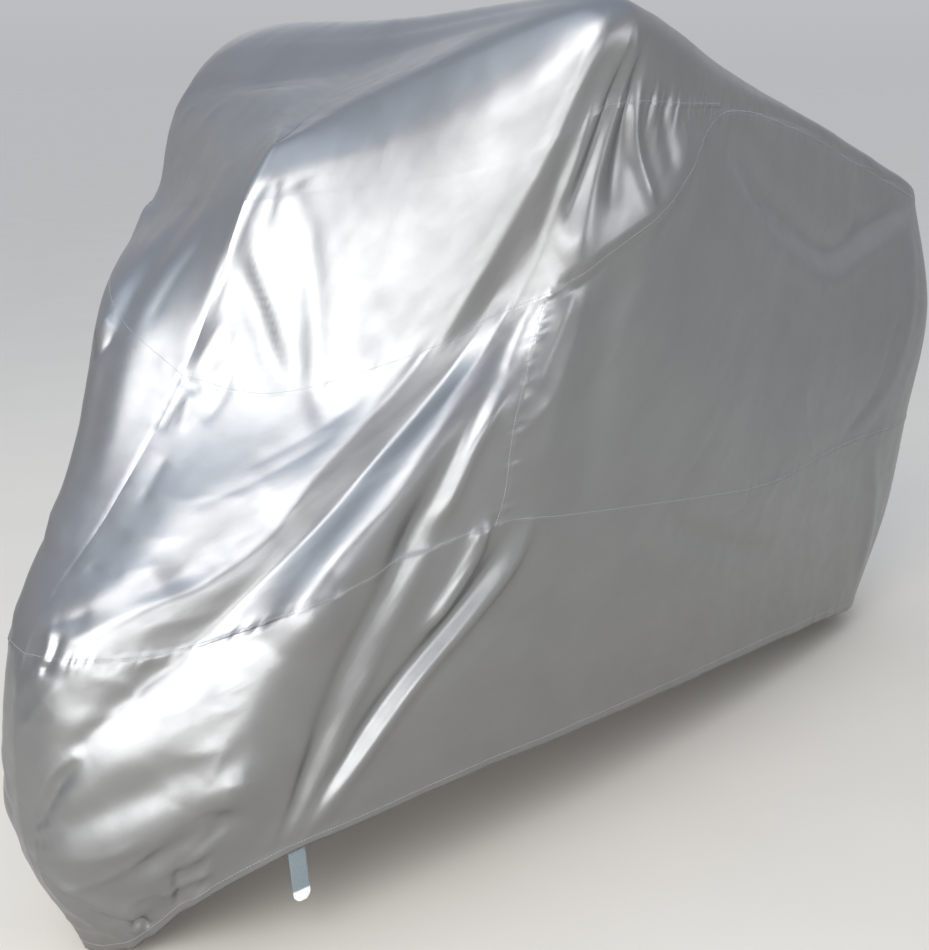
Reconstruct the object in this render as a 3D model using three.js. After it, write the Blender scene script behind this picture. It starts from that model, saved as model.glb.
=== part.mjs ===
// A motorcycle cover of silver-coated woven cloth, hollow, in the shape in which it hangs in use.
// Millimetres. +Z is up, the front is at -X and the cover's left side is at -Y.
// The origin is under the middle of the cover, on the ground that the front of the hem touches.
//
// The cloth is one surface over (u, v). u counts the sections below, from the front centre line
// round one side to the rear centre line. v counts the levels, from the hem up to the spine.
// Sewn pieces are patches of that surface, each thickened to a sheet.
import * as THREE from "three";

// Sizes of the sheet and its seams
const SHEET = 1.5;
const SEAM_GAP = 0.6;

// The webbing strap: its size, the part tucked behind the hem, its clearance there, the section that it
// hangs at, how far it leans back, the length and end width of its tapered tip, and how finely it is cut
const STRAP = {
  width: 24,
  thick: 1.8,
  tucked: 16,
  hanging: 86,
  gap: 1.3,
  section: 5.05,
  lean: 9,
  tipLength: 12,
  tipShare: 0.45,
  rows: 17,
  columns: 4,
};

// How finely the surface is cut: steps from each section to the next and from each level to the next
const STEPS_BETWEEN_SECTIONS = [4, 4, 4, 4, 4, 4, 4, 3, 3, 3, 3, 3];
const STEPS_BETWEEN_LEVELS = [5, 5, 5, 5, 4, 2, 2, 3];

// Levels of the surface, in order. The shoulder and the brow lie on either side of the ridge.
const LEVEL = { hem: 0, shin: 1, waist: 2, hip: 3, breast: 4, yoke: 5, shoulder: 6, brow: 7, spine: 8 };

// Sections of the left side. round is how far the ridge is rounded to either side.
const LEFT_SECTIONS = [
  {
    at: "front", round: 60,
    hem: [-1040, 0, 0], shin: [-1112, 0, 190], waist: [-1095, 0, 465], hip: [-948, 0, 640],
    breast: [-825, 0, 798], yoke: [-705, 0, 1035], ridge: [-660, 0, 1104], spine: [-640, 0, 1112],
  },
  {
    at: "lamp", round: 60,
    hem: [-1020, -40, 2], shin: [-1092, -62, 205], waist: [-1072, -62, 468], hip: [-918, -88, 625],
    breast: [-758, -100, 778], yoke: [-640, -100, 1050], ridge: [-585, -120, 1155], spine: [-590, 0, 1140],
  },
  {
    at: "slope", round: 55,
    hem: [-990, -88, 32], shin: [-1036, -125, 230], waist: [-980, -142, 470], hip: [-810, -184, 645],
    breast: [-635, -222, 822], yoke: [-545, -285, 1080], ridge: [-492, -328, 1246], spine: [-525, 0, 1182],
  },
  {
    at: "dip", round: 40,
    hem: [-958, -128, 77], shin: [-975, -170, 270], waist: [-882, -208, 500], hip: [-726, -248, 680],
    breast: [-570, -285, 858], yoke: [-495, -355, 1110], ridge: [-452, -405, 1280], spine: [-475, 0, 1220],
  },
  {
    at: "crest", round: 30,
    hem: [-912, -172, 117], shin: [-895, -212, 300], waist: [-785, -258, 537], hip: [-652, -292, 712],
    breast: [-520, -322, 888], yoke: [-458, -388, 1140], ridge: [-430, -430, 1290], spine: [-440, 0, 1256],
  },
  {
    at: "grip", round: 25,
    hem: [-825, -216, 155], shin: [-700, -270, 370], waist: [-530, -330, 592], hip: [-517, -353, 755],
    breast: [-468, -360, 912], yoke: [-412, -402, 1160], ridge: [-398, -440, 1299], spine: [-400, 0, 1284],
  },
  {
    at: "knee", round: 25,
    hem: [-750, -236, 166], shin: [-590, -292, 370], waist: [-395, -334, 573], hip: [-400, -360, 770],
    breast: [-385, -381, 958], yoke: [-350, -406, 1165], ridge: [-338, -432, 1290], spine: [-325, 0, 1246],
  },
  {
    at: "tank", round: 25,
    hem: [-530, -256, 172], shin: [-410, -302, 365], waist: [-240, -328, 550], hip: [-258, -362, 790],
    breast: [-265, -391, 1020], yoke: [-245, -400, 1160], ridge: [-235, -404, 1268], spine: [-210, 0, 1212],
  },
  {
    at: "saddle", round: 25,
    hem: [-210, -260, 160], shin: [-130, -296, 350], waist: [-20, -310, 516], hip: [-65, -342, 800],
    breast: [-104, -370, 1138], yoke: [-100, -368, 1155], ridge: [-80, -358, 1228], spine: [-30, 0, 1150],
  },
  {
    at: "seat", round: 25,
    hem: [180, -238, 134], shin: [200, -262, 315], waist: [225, -278, 480], hip: [232, -282, 780],
    breast: [240, -284, 1108], yoke: [242, -282, 1122], ridge: [250, -274, 1154], spine: [280, 0, 1082],
  },
  {
    at: "pillion", round: 25,
    hem: [550, -192, 92], shin: [560, -212, 290], waist: [580, -228, 480], hip: [595, -226, 750],
    breast: [605, -200, 1026], yoke: [610, -198, 1040], ridge: [620, -190, 1068], spine: [640, 0, 1022],
  },
  {
    at: "tail", round: 25,
    hem: [858, -120, 40], shin: [925, -150, 250], waist: [965, -160, 462], hip: [1012, -165, 700],
    breast: [985, -128, 925], yoke: [987, -124, 940], ridge: [985, -112, 964], spine: [965, 0, 972],
  },
  {
    at: "rear", round: 25,
    hem: [945, 0, 28], shin: [1065, 0, 250], waist: [1112, 0, 462], hip: [1130, 0, 700],
    breast: [1068, 0, 905], yoke: [1060, 0, 920], ridge: [1035, 0, 948], spine: [1005, 0, 956],
  },
];

// Sections of the right side that differ from the mirrored left side
const RIGHT_SECTIONS = [
  {
    at: "lamp", round: 60,
    hem: [-1020, 50, 2], shin: [-1096, 66, 205], waist: [-1078, 66, 468], hip: [-958, 84, 668],
    breast: [-850, 110, 868], yoke: [-690, 110, 1030], ridge: [-590, 120, 1135], spine: [-590, 0, 1140],
  },
  {
    at: "slope", round: 55,
    hem: [-988, 100, 30], shin: [-1038, 130, 230], waist: [-1000, 140, 480], hip: [-900, 162, 690],
    breast: [-815, 186, 908], yoke: [-655, 235, 1010], ridge: [-530, 270, 1165], spine: [-525, 0, 1182],
  },
  {
    at: "dip", round: 45,
    hem: [-940, 150, 60], shin: [-950, 190, 270], waist: [-900, 220, 510], hip: [-800, 250, 730],
    breast: [-695, 300, 950], yoke: [-572, 388, 1025], ridge: [-508, 438, 1155], spine: [-475, 0, 1220],
  },
  {
    at: "crest", round: 40,
    hem: [-870, 190, 95], shin: [-840, 235, 310], waist: [-760, 275, 550], hip: [-670, 315, 770],
    breast: [-570, 370, 985], yoke: [-495, 430, 1095], ridge: [-450, 455, 1225], spine: [-440, 0, 1256],
  },
  {
    at: "grip", round: 35,
    hem: [-790, 220, 120], shin: [-710, 270, 370], waist: [-610, 320, 590], hip: [-550, 350, 790],
    breast: [-470, 395, 995], yoke: [-400, 432, 1150], ridge: [-378, 448, 1262], spine: [-400, 0, 1284],
  },
  {
    at: "knee", round: 30,
    hem: [-690, 240, 135], shin: [-590, 292, 370], waist: [-450, 332, 575], hip: [-420, 362, 785],
    breast: [-380, 395, 1005], yoke: [-335, 418, 1155], ridge: [-325, 428, 1256], spine: [-325, 0, 1246],
  },
];

// Main folds of the left side. A fold follows its path of [u, v] points on the cloth. It stands out
// by rise, or lies in where that is negative, and width is the distance at which it has mostly gone.
const LEFT_FOLDS = [
  { at: "main crest", rise: 6, width: 30,
    path: [[4, 5.8], [3.5, 5], [2.95, 4.4], [2.4, 3.8], [2.2, 3.3], [2.25, 2.75], [1.9, 2.5], [1.4, 2.32],
      [0.9, 2.12]] },
  { at: "main valley", rise: -17, width: 44,
    path: [[3.85, 4.7], [3.55, 4.2], [3.15, 3.6], [2.95, 3], [2.65, 2.3], [2.25, 1.93], [1.9, 1.78]] },
  { at: "low main valley", rise: -6, width: 20,
    path: [[2.25, 1.93], [1.75, 1.72], [1.35, 1.53], [0.95, 1.36], [0.5, 1.2]] },
  { at: "second crest", rise: 16, width: 42,
    path: [[4.5, 3.7], [4.2, 3.05], [4.08, 2.65], [3.95, 2.3], [3.85, 1.95], [3.8, 1.7]] },
  { at: "low second crest", rise: 10, width: 60,
    path: [[3.95, 2.15], [3.82, 1.75], [3.75, 1.4], [3.65, 1.05], [3.5, 0.85]] },
  { at: "skirt band", rise: 5, width: 34, path: [[3, 1.67], [2.4, 1.56], [1.85, 1.43], [1, 1.23]] },
  { at: "second valley", rise: -13, width: 26, path: [[4.72, 4.2], [4.5, 3.4], [4.37, 2.7], [4.38, 2.05]] },
  { at: "low second valley", rise: -8, width: 19,
    path: [[4.37, 2.4], [4.4, 2], [4.42, 1.5], [4.52, 0.97], [4.58, 0.4]] },
  { at: "third crest", rise: 6, width: 12, path: [[4.72, 3.3], [4.6, 2.88], [4.57, 2.5], [4.52, 2.2]] },
  { at: "grip dark valley", rise: -3.5, width: 15,
    path: [[4.3, 5.7], [4.1, 5.3], [4.1, 4.8], [4.3, 4.5], [4.5, 4.2]] },
  { at: "grip inner crest", rise: 2.5, width: 14, path: [[5, 5.8], [4.85, 5.3], [4.7, 4.85], [4.55, 4.5]] },
  { at: "grip middle valley", rise: -5, width: 13, path: [[5.1, 5.6], [5.02, 5.1], [4.98, 4.7], [5, 4.3]] },
  { at: "grip outer crest", rise: 5.5, width: 19,
    path: [[5.25, 5.9], [5.35, 5.4], [5.32, 4.9], [5.3, 4.5], [5.4, 4.15]] },
  { at: "grip outer valley", rise: -6, width: 16, path: [[5.7, 5.6], [5.75, 5.1], [5.85, 4.7], [6, 4.3]] },
  { at: "grip last crest", rise: 5, width: 13, path: [[5.9, 5.2], [6.12, 4.8], [6.4, 4.5], [6.7, 4.15]] },
  { at: "grip last valley", rise: -3, width: 16, path: [[6.6, 5.1], [6.85, 4.7], [7.05, 4.3]] },
  { at: "wedge puff", rise: 12, width: 55,
    path: [[5.15, 4.14], [5.8, 4.14], [6.5, 4.14], [7.2, 4.12], [7.7, 4.1]] },
  { at: "corner crest", rise: 8, width: 13, path: [[4.85, 2.12], [4.9, 1.8], [4.93, 1.6], [4.95, 1.35]] },
  { at: "strap valley", rise: -6, width: 14,
    path: [[5.15, 1.95], [5.2, 1.55], [5.18, 1.2], [5.05, 0.85], [4.95, 0.5], [4.88, 0.2]] },
  { at: "strap outer crest", rise: 10, width: 19,
    path: [[5.4, 2], [5.48, 1.7], [5.46, 1.3], [5.38, 1], [5.28, 0.65], [5.13, 0.38], [4.98, 0.1]] },
  { at: "front band", rise: 17, width: 85,
    path: [[0.25, 0.98], [0.9, 0.95], [1.85, 0.9], [2.4, 0.87], [3, 0.87], [3.5, 0.9], [4, 0.97],
      [4.3, 1.02]] },
  { at: "front trough", rise: -5, width: 26,
    path: [[0.5, 1.12], [1.45, 1.2], [2.55, 1.22], [3.4, 1.17], [3.9, 1.25]] },
  { at: "tucked edge", rise: -9, width: 26,
    path: [[2.1, 0.7], [2.6, 0.7], [3.1, 0.7], [3.6, 0.72], [3.95, 0.76]] },
  { at: "toe crease", rise: 5, width: 18, path: [[0.3, 1], [0.9, 0.75], [1.5, 0.5], [2, 0.2]] },
  { at: "front dip", rise: -5, width: 22, path: [[0.7, 2.2], [1.1, 2.33], [1.5, 2.5], [1.85, 2.7]] },
  { at: "cheek", rise: -4, width: 36, path: [[1.35, 2.6], [1.65, 2.85], [1.9, 3.1]] },
  { at: "nose crest", rise: 2.5, width: 22, path: [[0.6, 5.25], [0.75, 4.9], [1, 4.5], [1.2, 4.1]] },
  { at: "nose dip", rise: -4, width: 20,
    path: [[0.42, 5.2], [0.75, 4.9], [1.02, 4.6], [1.2, 4.3], [1.4, 4], [1.8, 3.6]] },
  { at: "nose chevron", rise: -4, width: 18,
    path: [[0.1, 4.62], [0.35, 4.5], [0.6, 4.37], [0.88, 4.2], [1.2, 4.05]] },
  { at: "breast dent", rise: -3, width: 30, path: [[1.5, 4.45], [1.75, 4.22], [2, 4.12], [2.35, 4.2]] },
  { at: "side swag", rise: -14, width: 32,
    path: [[8.15, 3.78], [8.55, 3.61], [9.1, 3.46], [9.7, 3.36], [10.2, 3.56], [10.65, 3.86]] },
  { at: "swag lip", rise: 5, width: 30,
    path: [[8.15, 3.62], [8.55, 3.45], [9.1, 3.3], [9.7, 3.2], [10.2, 3.4], [10.65, 3.7]] },
  { at: "side wave", rise: 5, width: 32, path: [[5.6, 3.95], [5.6, 3.2], [5.45, 2.2]] },
  { at: "side hollow", rise: -6, width: 40, path: [[6.5, 3.9], [6.3, 3.2], [6.2, 2.1]] },
  { at: "skirt crease", rise: -6, width: 22, path: [[7.6, 1.9], [8, 1.68], [8.5, 1.5], [9.2, 1.2]] },
  { at: "rear edge", rise: 4, width: 30, path: [[10.65, 3.7], [10.6, 3.1], [10.45, 2.4], [10.1, 2.02]] },
  { at: "rear corner", rise: 6, width: 26, path: [[10.35, 1.9], [10.55, 1.2], [10.7, 0.4]] },
];

// Folds of the right side, which hangs more plainly
const RIGHT_FOLDS = [
  { at: "main crest", rise: 12, width: 36,
    path: [[4.2, 5.4], [3.6, 4.5], [3.2, 3.4], [2.8, 2.4], [2.2, 1.4]] },
  { at: "main valley", rise: -14, width: 44,
    path: [[4.8, 5.3], [4.4, 4.4], [4, 3.3], [3.6, 2.3], [3, 1.2]] },
  { at: "second crest", rise: 12, width: 42,
    path: [[5.3, 5.2], [5.1, 4.2], [4.8, 3], [4.6, 2], [4.4, 0.8]] },
  { at: "second valley", rise: -10, width: 34,
    path: [[5.8, 5.1], [5.7, 4], [5.5, 3], [5.3, 2], [5.1, 0.6]] },
  { at: "third crest", rise: 8, width: 36, path: [[6.4, 4.6], [6.3, 3.4], [6.1, 2.2], [5.9, 0.8]] },
  { at: "lamp dip", rise: -8, width: 26, path: [[1.4, 5.2], [1.2, 4.6], [1, 3.8], [0.8, 2.9]] },
  { at: "side swag", rise: -8, width: 36, path: [[8, 3.7], [8.8, 3.45], [9.6, 3.45], [10.6, 3.9]] },
  { at: "front band", rise: 8, width: 36, path: [[0.5, 1.1], [1.4, 1.12], [2.6, 1.1], [3.8, 1]] },
  { at: "tucked edge", rise: -8, width: 34, path: [[0.6, 0.75], [1.6, 0.75], [2.8, 0.72], [3.8, 0.65]] },
];

// Sewn pieces: the side each is on and its patches of [first u, last u, lowest level, highest level]
const FRONT = 0;
const SIDE_SEAM = 5;
const WEDGE_TIP = 8;
const REAR = LEFT_SECTIONS.length - 1;
const SKIRT = [[FRONT, REAR, LEVEL.hem, LEVEL.waist]];
const FRONT_PIECE = [[FRONT, SIDE_SEAM, LEVEL.waist, LEVEL.breast]];
const SIDE_PIECE = [[SIDE_SEAM, REAR, LEVEL.waist, LEVEL.breast]];
const WEDGE = [[FRONT, WEDGE_TIP, LEVEL.breast, LEVEL.yoke]];
const TOP_HALF = [
  [FRONT, REAR, LEVEL.yoke, LEVEL.spine],
  [WEDGE_TIP, REAR, LEVEL.breast, LEVEL.yoke],
];

const CLOTH = new THREE.MeshStandardMaterial({ color: 0xb4b8bc, roughness: 0.38, metalness: 0.75 });
const WEBBING = new THREE.MeshStandardMaterial({ color: 0x74828c, roughness: 0.85, metalness: 0 });

// How the surface is worked out: the most of its way to the next level that a ridge is rounded, the steps
// in u and v for directions and for lengths, and the points and the faded ends of a fold
const ROUND_SHARE = 0.45;
const NORMAL_STEP = 0.03;
const PROBE = 0.1;
const FOLD_POINTS = 5;
const FOLD_FADE = 0.2;

function mirrored(section) {
  const copy = { ...section };
  for (const [key, value] of Object.entries(section)) {
    if (Array.isArray(value)) copy[key] = [value[0], -value[1], value[2]];
  }
  return copy;
}

// The right side is the left side mirrored, but for the sections that have a row of their own.
function rightSections() {
  const own = new Map(RIGHT_SECTIONS.map((section) => [section.at, section]));
  return LEFT_SECTIONS.map((section) => own.get(section.at) ?? mirrored(section));
}

function curveThrough(points) {
  return new THREE.CatmullRomCurve3(points.map((point) => new THREE.Vector3(...point)));
}

// The line of each level along the sections. It runs on past the rear centre line, so that it is round there.
function makeSide(sections, folds, outward) {
  const lines = {};
  const pastRear = mirrored(sections[REAR - 1]);
  for (const level of ["hem", "shin", "waist", "hip", "breast", "yoke", "ridge", "spine"]) {
    lines[level] = curveThrough([...sections, pastRear].map((section) => section[level]));
  }
  const side = { sections, lines, outward, ribs: new Map() };
  side.folds = folds.map((fold) => laidFold(side, fold));
  return side;
}

// A point on the way from one point to another, at most a share of the way along.
function towards(from, to, distance) {
  const step = to.clone().sub(from);
  return from.clone().addScaledVector(step, Math.min(distance / step.length(), ROUND_SHARE));
}

function roundAt(side, u) {
  const before = Math.min(Math.floor(u), REAR - 1);
  return THREE.MathUtils.lerp(side.sections[before].round, side.sections[before + 1].round, u - before);
}

// The curve from hem to spine at u
function ribAt(side, u) {
  if (!side.ribs.has(u)) {
    const at = (level) => side.lines[level].getPoint(u / (REAR + 1));
    const ridge = at("ridge");
    const spine = at("spine");
    const yoke = at("yoke");
    const round = roundAt(side, u);
    const shoulder = towards(ridge, yoke, round);
    const brow = towards(ridge, spine, round);
    const points = [at("hem"), at("shin"), at("waist"), at("hip"), at("breast"), yoke, shoulder, brow, spine];
    side.ribs.set(u, new THREE.CatmullRomCurve3(points));
  }
  return side.ribs.get(u);
}

function basePoint(side, u, v) {
  return ribAt(side, u).getPoint(v / LEVEL.spine);
}

function baseNormal(side, u, v) {
  const clampU = (value) => THREE.MathUtils.clamp(value, FRONT, REAR);
  const clampV = (value) => THREE.MathUtils.clamp(value, LEVEL.hem, LEVEL.spine);
  const alongU = basePoint(side, clampU(u + NORMAL_STEP), v).sub(basePoint(side, clampU(u - NORMAL_STEP), v));
  const alongV = basePoint(side, u, clampV(v + NORMAL_STEP)).sub(basePoint(side, u, clampV(v - NORMAL_STEP)));
  return alongU.cross(alongV).normalize().multiplyScalar(side.outward);
}

// A fold's path as a chain of points on the cloth
function laidFold(side, fold) {
  const path = curveThrough(fold.path.map(([u, v]) => [u, v, 0]));
  const chain = path.getPoints(FOLD_POINTS * (fold.path.length - 1));
  return { ...fold, chain: chain.map((point) => basePoint(side, point.x, point.y)) };
}

// The nearest place on a chain: its distance, and how far along the chain it lies, from 0 to 1
function nearestOnChain(chain, point) {
  const best = { distance: Infinity, along: 0 };
  const segment = new THREE.Line3();
  for (let i = 0; i + 1 < chain.length; i += 1) {
    segment.set(chain[i], chain[i + 1]);
    const share = segment.closestPointToPointParameter(point, true);
    const distance = segment.at(share, new THREE.Vector3()).distanceTo(point);
    if (distance < best.distance) {
      best.distance = distance;
      best.along = (i + share) / (chain.length - 1);
    }
  }
  return best;
}

// How far the folds of both sides move a point out
function foldRise(point) {
  let rise = 0;
  for (const fold of [...SIDES.left.folds, ...SIDES.right.folds]) {
    const { distance, along } = nearestOnChain(fold.chain, point);
    const fade = THREE.MathUtils.smoothstep(Math.min(along, 1 - along), -FOLD_FADE / 2, FOLD_FADE);
    rise += fold.rise * fade * Math.exp(-((distance / fold.width) ** 2));
  }
  return rise;
}

// Values of u or v at every step of the grid
function gridValues(steps) {
  const values = [0];
  steps.forEach((count, index) => {
    for (let step = 1; step <= count; step += 1) values.push(index + step / count);
  });
  return values;
}

const GRID_U = gridValues(STEPS_BETWEEN_SECTIONS);
const GRID_V = gridValues(STEPS_BETWEEN_LEVELS);
const SIDES = {
  left: makeSide(LEFT_SECTIONS, LEFT_FOLDS, 1),
  right: makeSide(rightSections(), RIGHT_FOLDS, -1),
};

// The two sides share the points of the front and rear centre lines and of the spine.
function isShared(u, v) {
  return u === FRONT || u === REAR || v === LEVEL.spine;
}

const clothPoints = new Map();

// A point of the folded cloth with its outward direction
function clothPoint(sideName, i, j) {
  const u = GRID_U[i];
  const v = GRID_V[j];
  const shared = isShared(u, v);
  const key = `${shared ? "both" : sideName} ${i} ${j}`;
  if (!clothPoints.has(key)) {
    const sides = shared ? [SIDES.left, SIDES.right] : [SIDES[sideName]];
    const point = basePoint(sides[0], u, v);
    const rise = foldRise(point);
    const normal = new THREE.Vector3();
    for (const side of sides) normal.add(baseNormal(side, u, v));
    normal.normalize();
    clothPoints.set(key, { key, normal, point: point.addScaledVector(normal, rise) });
  }
  return clothPoints.get(key);
}

// The cells of a patch, each as four corners in the order that faces out
function patchCells(sideName, [firstU, lastU, lowV, highV]) {
  const cells = [];
  for (let i = GRID_U.indexOf(firstU); i < GRID_U.indexOf(lastU); i += 1) {
    for (let j = GRID_V.indexOf(lowV); j < GRID_V.indexOf(highV); j += 1) {
      const corners = [[i, j], [i + 1, j], [i + 1, j + 1], [i, j + 1]];
      if (SIDES[sideName].outward < 0) corners.reverse();
      cells.push(corners.map(([a, b]) => clothPoint(sideName, a, b)));
    }
  }
  return cells;
}

function cellCentre(cell) {
  const sum = new THREE.Vector3();
  for (const corner of cell) sum.add(corner.point);
  return sum.divideScalar(cell.length);
}

// The edges that only one cell has, with the direction from each edge into the piece
function rimEdges(cells) {
  const edges = new Map();
  for (const cell of cells) {
    cell.forEach((from, index) => {
      const to = cell[(index + 1) % cell.length];
      const twin = `${to.key}|${from.key}`;
      if (edges.has(twin)) {
        edges.delete(twin);
        return;
      }
      const along = to.point.clone().sub(from.point).normalize();
      const inward = cellCentre(cell).sub(from.point);
      inward.addScaledVector(along, -inward.dot(along)).normalize();
      edges.set(`${from.key}|${to.key}`, { from, to, inward });
    });
  }
  return [...edges.values()];
}

// How far each rim point moves in, so that half a seam's gap is left along both of its edges
function rimMoves(edges) {
  const inwards = new Map();
  for (const { from, to, inward } of edges) {
    for (const end of [from, to]) {
      inwards.set(end.key, [...(inwards.get(end.key) ?? []), inward]);
    }
  }
  const moves = new Map();
  for (const [key, [first, second]] of inwards) {
    const mitre = first.clone().add(second).divideScalar(1 + first.dot(second));
    moves.set(key, mitre.multiplyScalar(SEAM_GAP / 2));
  }
  return moves;
}

// A closed sheet over cells: its outer face, its inner face and the rim between them
function sheetGeometry(cells) {
  const edges = rimEdges(cells);
  const moves = rimMoves(edges);
  const positions = [];
  const indices = [];
  const numbers = new Map();
  const outer = (corner) => {
    if (!numbers.has(corner.key)) {
      const outside = corner.point.clone().add(moves.get(corner.key) ?? new THREE.Vector3());
      const inside = outside.clone().addScaledVector(corner.normal, -SHEET);
      numbers.set(corner.key, positions.length / 3);
      positions.push(...outside.toArray(), ...inside.toArray());
    }
    return numbers.get(corner.key);
  };
  const addTriangle = (a, b, c) => {
    indices.push(a, b, c);
    indices.push(a + 1, c + 1, b + 1);
  };
  for (const cell of cells) {
    const [a, b, c, d] = cell.map(outer);
    const first = cell[0].point.distanceTo(cell[2].point);
    const second = cell[1].point.distanceTo(cell[3].point);
    if (first < second) {
      addTriangle(a, b, c);
      addTriangle(a, c, d);
    } else {
      addTriangle(a, b, d);
      addTriangle(b, c, d);
    }
  }
  for (const { from, to } of edges) {
    const a = outer(from);
    const b = outer(to);
    indices.push(a, a + 1, b);
    indices.push(b, a + 1, b + 1);
  }
  return solidGeometry(positions, indices);
}

function solidGeometry(positions, indices) {
  const geometry = new THREE.BufferGeometry();
  geometry.setAttribute("position", new THREE.Float32BufferAttribute(positions, 3));
  geometry.setIndex(indices);
  geometry.computeVertexNormals();
  return geometry;
}

// Where the strap's surface lies: across is from -1/2 to 1/2 of its width, down is its distance from the top
function strapPoint(side, across, down, scale) {
  const below = Math.max(0, down - STRAP.tucked);
  const level = scale.level * Math.max(0, STRAP.tucked - down);
  const u = STRAP.section + across * STRAP.width * scale.section;
  const base = basePoint(side, u, level);
  const normal = baseNormal(side, u, level);
  const point = base.addScaledVector(normal, foldRise(base) - SHEET - STRAP.gap);
  point.x += (STRAP.lean * below) / STRAP.hanging;
  point.z -= below;
  return { point, normal };
}

// The strap is sewn behind the hem of the left side, follows the cloth there and hangs from it.
function strapGeometry() {
  const side = SIDES.left;
  const top = basePoint(side, STRAP.section, LEVEL.hem);
  const scale = {
    section: PROBE / basePoint(side, STRAP.section + PROBE, LEVEL.hem).distanceTo(top),
    level: PROBE / basePoint(side, STRAP.section, LEVEL.hem + PROBE).distanceTo(top),
  };
  const length = STRAP.tucked + STRAP.hanging;
  const positions = [];
  for (let row = 0; row <= STRAP.rows; row += 1) {
    const down = (length * row) / STRAP.rows;
    const intoTip = Math.max(0, 1 - (length - down) / STRAP.tipLength);
    const narrowing = 1 - (1 - STRAP.tipShare) * intoTip * intoTip;
    for (let column = 0; column <= STRAP.columns; column += 1) {
      const across = narrowing * (column / STRAP.columns - 0.5);
      const { point, normal } = strapPoint(side, across, down, scale);
      const back = point.clone().addScaledVector(normal, -STRAP.thick);
      positions.push(...point.toArray(), ...back.toArray());
    }
  }
  return solidGeometry(positions, stripIndices(STRAP.rows, STRAP.columns));
}

// Triangles of a closed strip whose points come row by row, each as a front point and a back point
function stripIndices(rows, columns) {
  const indices = [];
  const number = (row, column) => 2 * (row * (columns + 1) + column);
  const addQuad = (a, b, c, d) => indices.push(a, b, c, a, c, d);
  for (let row = 0; row < rows; row += 1) {
    for (let column = 0; column < columns; column += 1) {
      const [a, b] = [number(row, column), number(row + 1, column)];
      const [c, d] = [number(row + 1, column + 1), number(row, column + 1)];
      addQuad(a, b, c, d);
      addQuad(a + 1, d + 1, c + 1, b + 1);
    }
    const [top, low] = [number(row, 0), number(row + 1, 0)];
    const [topEnd, lowEnd] = [number(row, columns), number(row + 1, columns)];
    addQuad(top, top + 1, low + 1, low);
    addQuad(topEnd, lowEnd, lowEnd + 1, topEnd + 1);
  }
  for (let column = 0; column < columns; column += 1) {
    const [first, next] = [number(0, column), number(0, column + 1)];
    const [last, after] = [number(rows, column), number(rows, column + 1)];
    addQuad(first, next, next + 1, first + 1);
    addQuad(last, last + 1, after + 1, after);
  }
  return indices;
}

function addPiece(group, name, geometry, material) {
  const mesh = new THREE.Mesh(geometry, material.clone());
  mesh.name = name;
  group.add(mesh);
}

function cellsOn(sideName, patches) {
  return patches.flatMap((patch) => patchCells(sideName, patch));
}

const cover = new THREE.Group();
cover.name = "motorcycle_cover";
const topCells = [...cellsOn("left", TOP_HALF), ...cellsOn("right", TOP_HALF)];
addPiece(cover, "top_panel", sheetGeometry(topCells), CLOTH);
for (const sideName of ["left", "right"]) {
  addPiece(cover, `upper_front_${sideName}`, sheetGeometry(cellsOn(sideName, WEDGE)), CLOTH);
  addPiece(cover, `front_${sideName}`, sheetGeometry(cellsOn(sideName, FRONT_PIECE)), CLOTH);
  addPiece(cover, `side_${sideName}`, sheetGeometry(cellsOn(sideName, SIDE_PIECE)), CLOTH);
  addPiece(cover, `skirt_${sideName}`, sheetGeometry(cellsOn(sideName, SKIRT)), CLOTH);
}
addPiece(cover, "strap", strapGeometry(), WEBBING);

export default cover;
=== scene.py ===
# The looks of a hollow motorcycle cover of silver-coated woven cloth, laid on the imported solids.
# The scene is in metres and the tables are in millimetres, both in the solids' frame: +Z is up, the front
# is at -X and the cover's left side is at -Y.
#
# The cloth is one surface over (u, v), as in the solids. u counts the sections from the front centre line
# round one side to the rear centre line, and v counts the levels from the hem up to the spine.
import math
from collections import namedtuple

import bpy
import numpy as np
from mathutils import Matrix, Vector


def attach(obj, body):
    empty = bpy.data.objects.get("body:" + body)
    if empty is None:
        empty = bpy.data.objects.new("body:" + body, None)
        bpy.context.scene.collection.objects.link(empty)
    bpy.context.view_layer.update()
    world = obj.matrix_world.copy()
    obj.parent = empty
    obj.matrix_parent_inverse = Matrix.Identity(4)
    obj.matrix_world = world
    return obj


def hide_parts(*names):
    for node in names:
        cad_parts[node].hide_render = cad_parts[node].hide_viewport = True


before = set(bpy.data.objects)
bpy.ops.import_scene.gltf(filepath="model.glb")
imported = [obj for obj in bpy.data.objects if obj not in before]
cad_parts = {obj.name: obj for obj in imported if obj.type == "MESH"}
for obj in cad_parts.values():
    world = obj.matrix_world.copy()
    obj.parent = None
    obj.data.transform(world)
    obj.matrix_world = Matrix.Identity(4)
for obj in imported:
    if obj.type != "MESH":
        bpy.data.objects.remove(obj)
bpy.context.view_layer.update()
MM = 0.001

# A section of the cloth: how far its ridge is rounded to either side, and its point at each level
Section = namedtuple("Section", "round hem shin waist hip breast yoke ridge spine")

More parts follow.
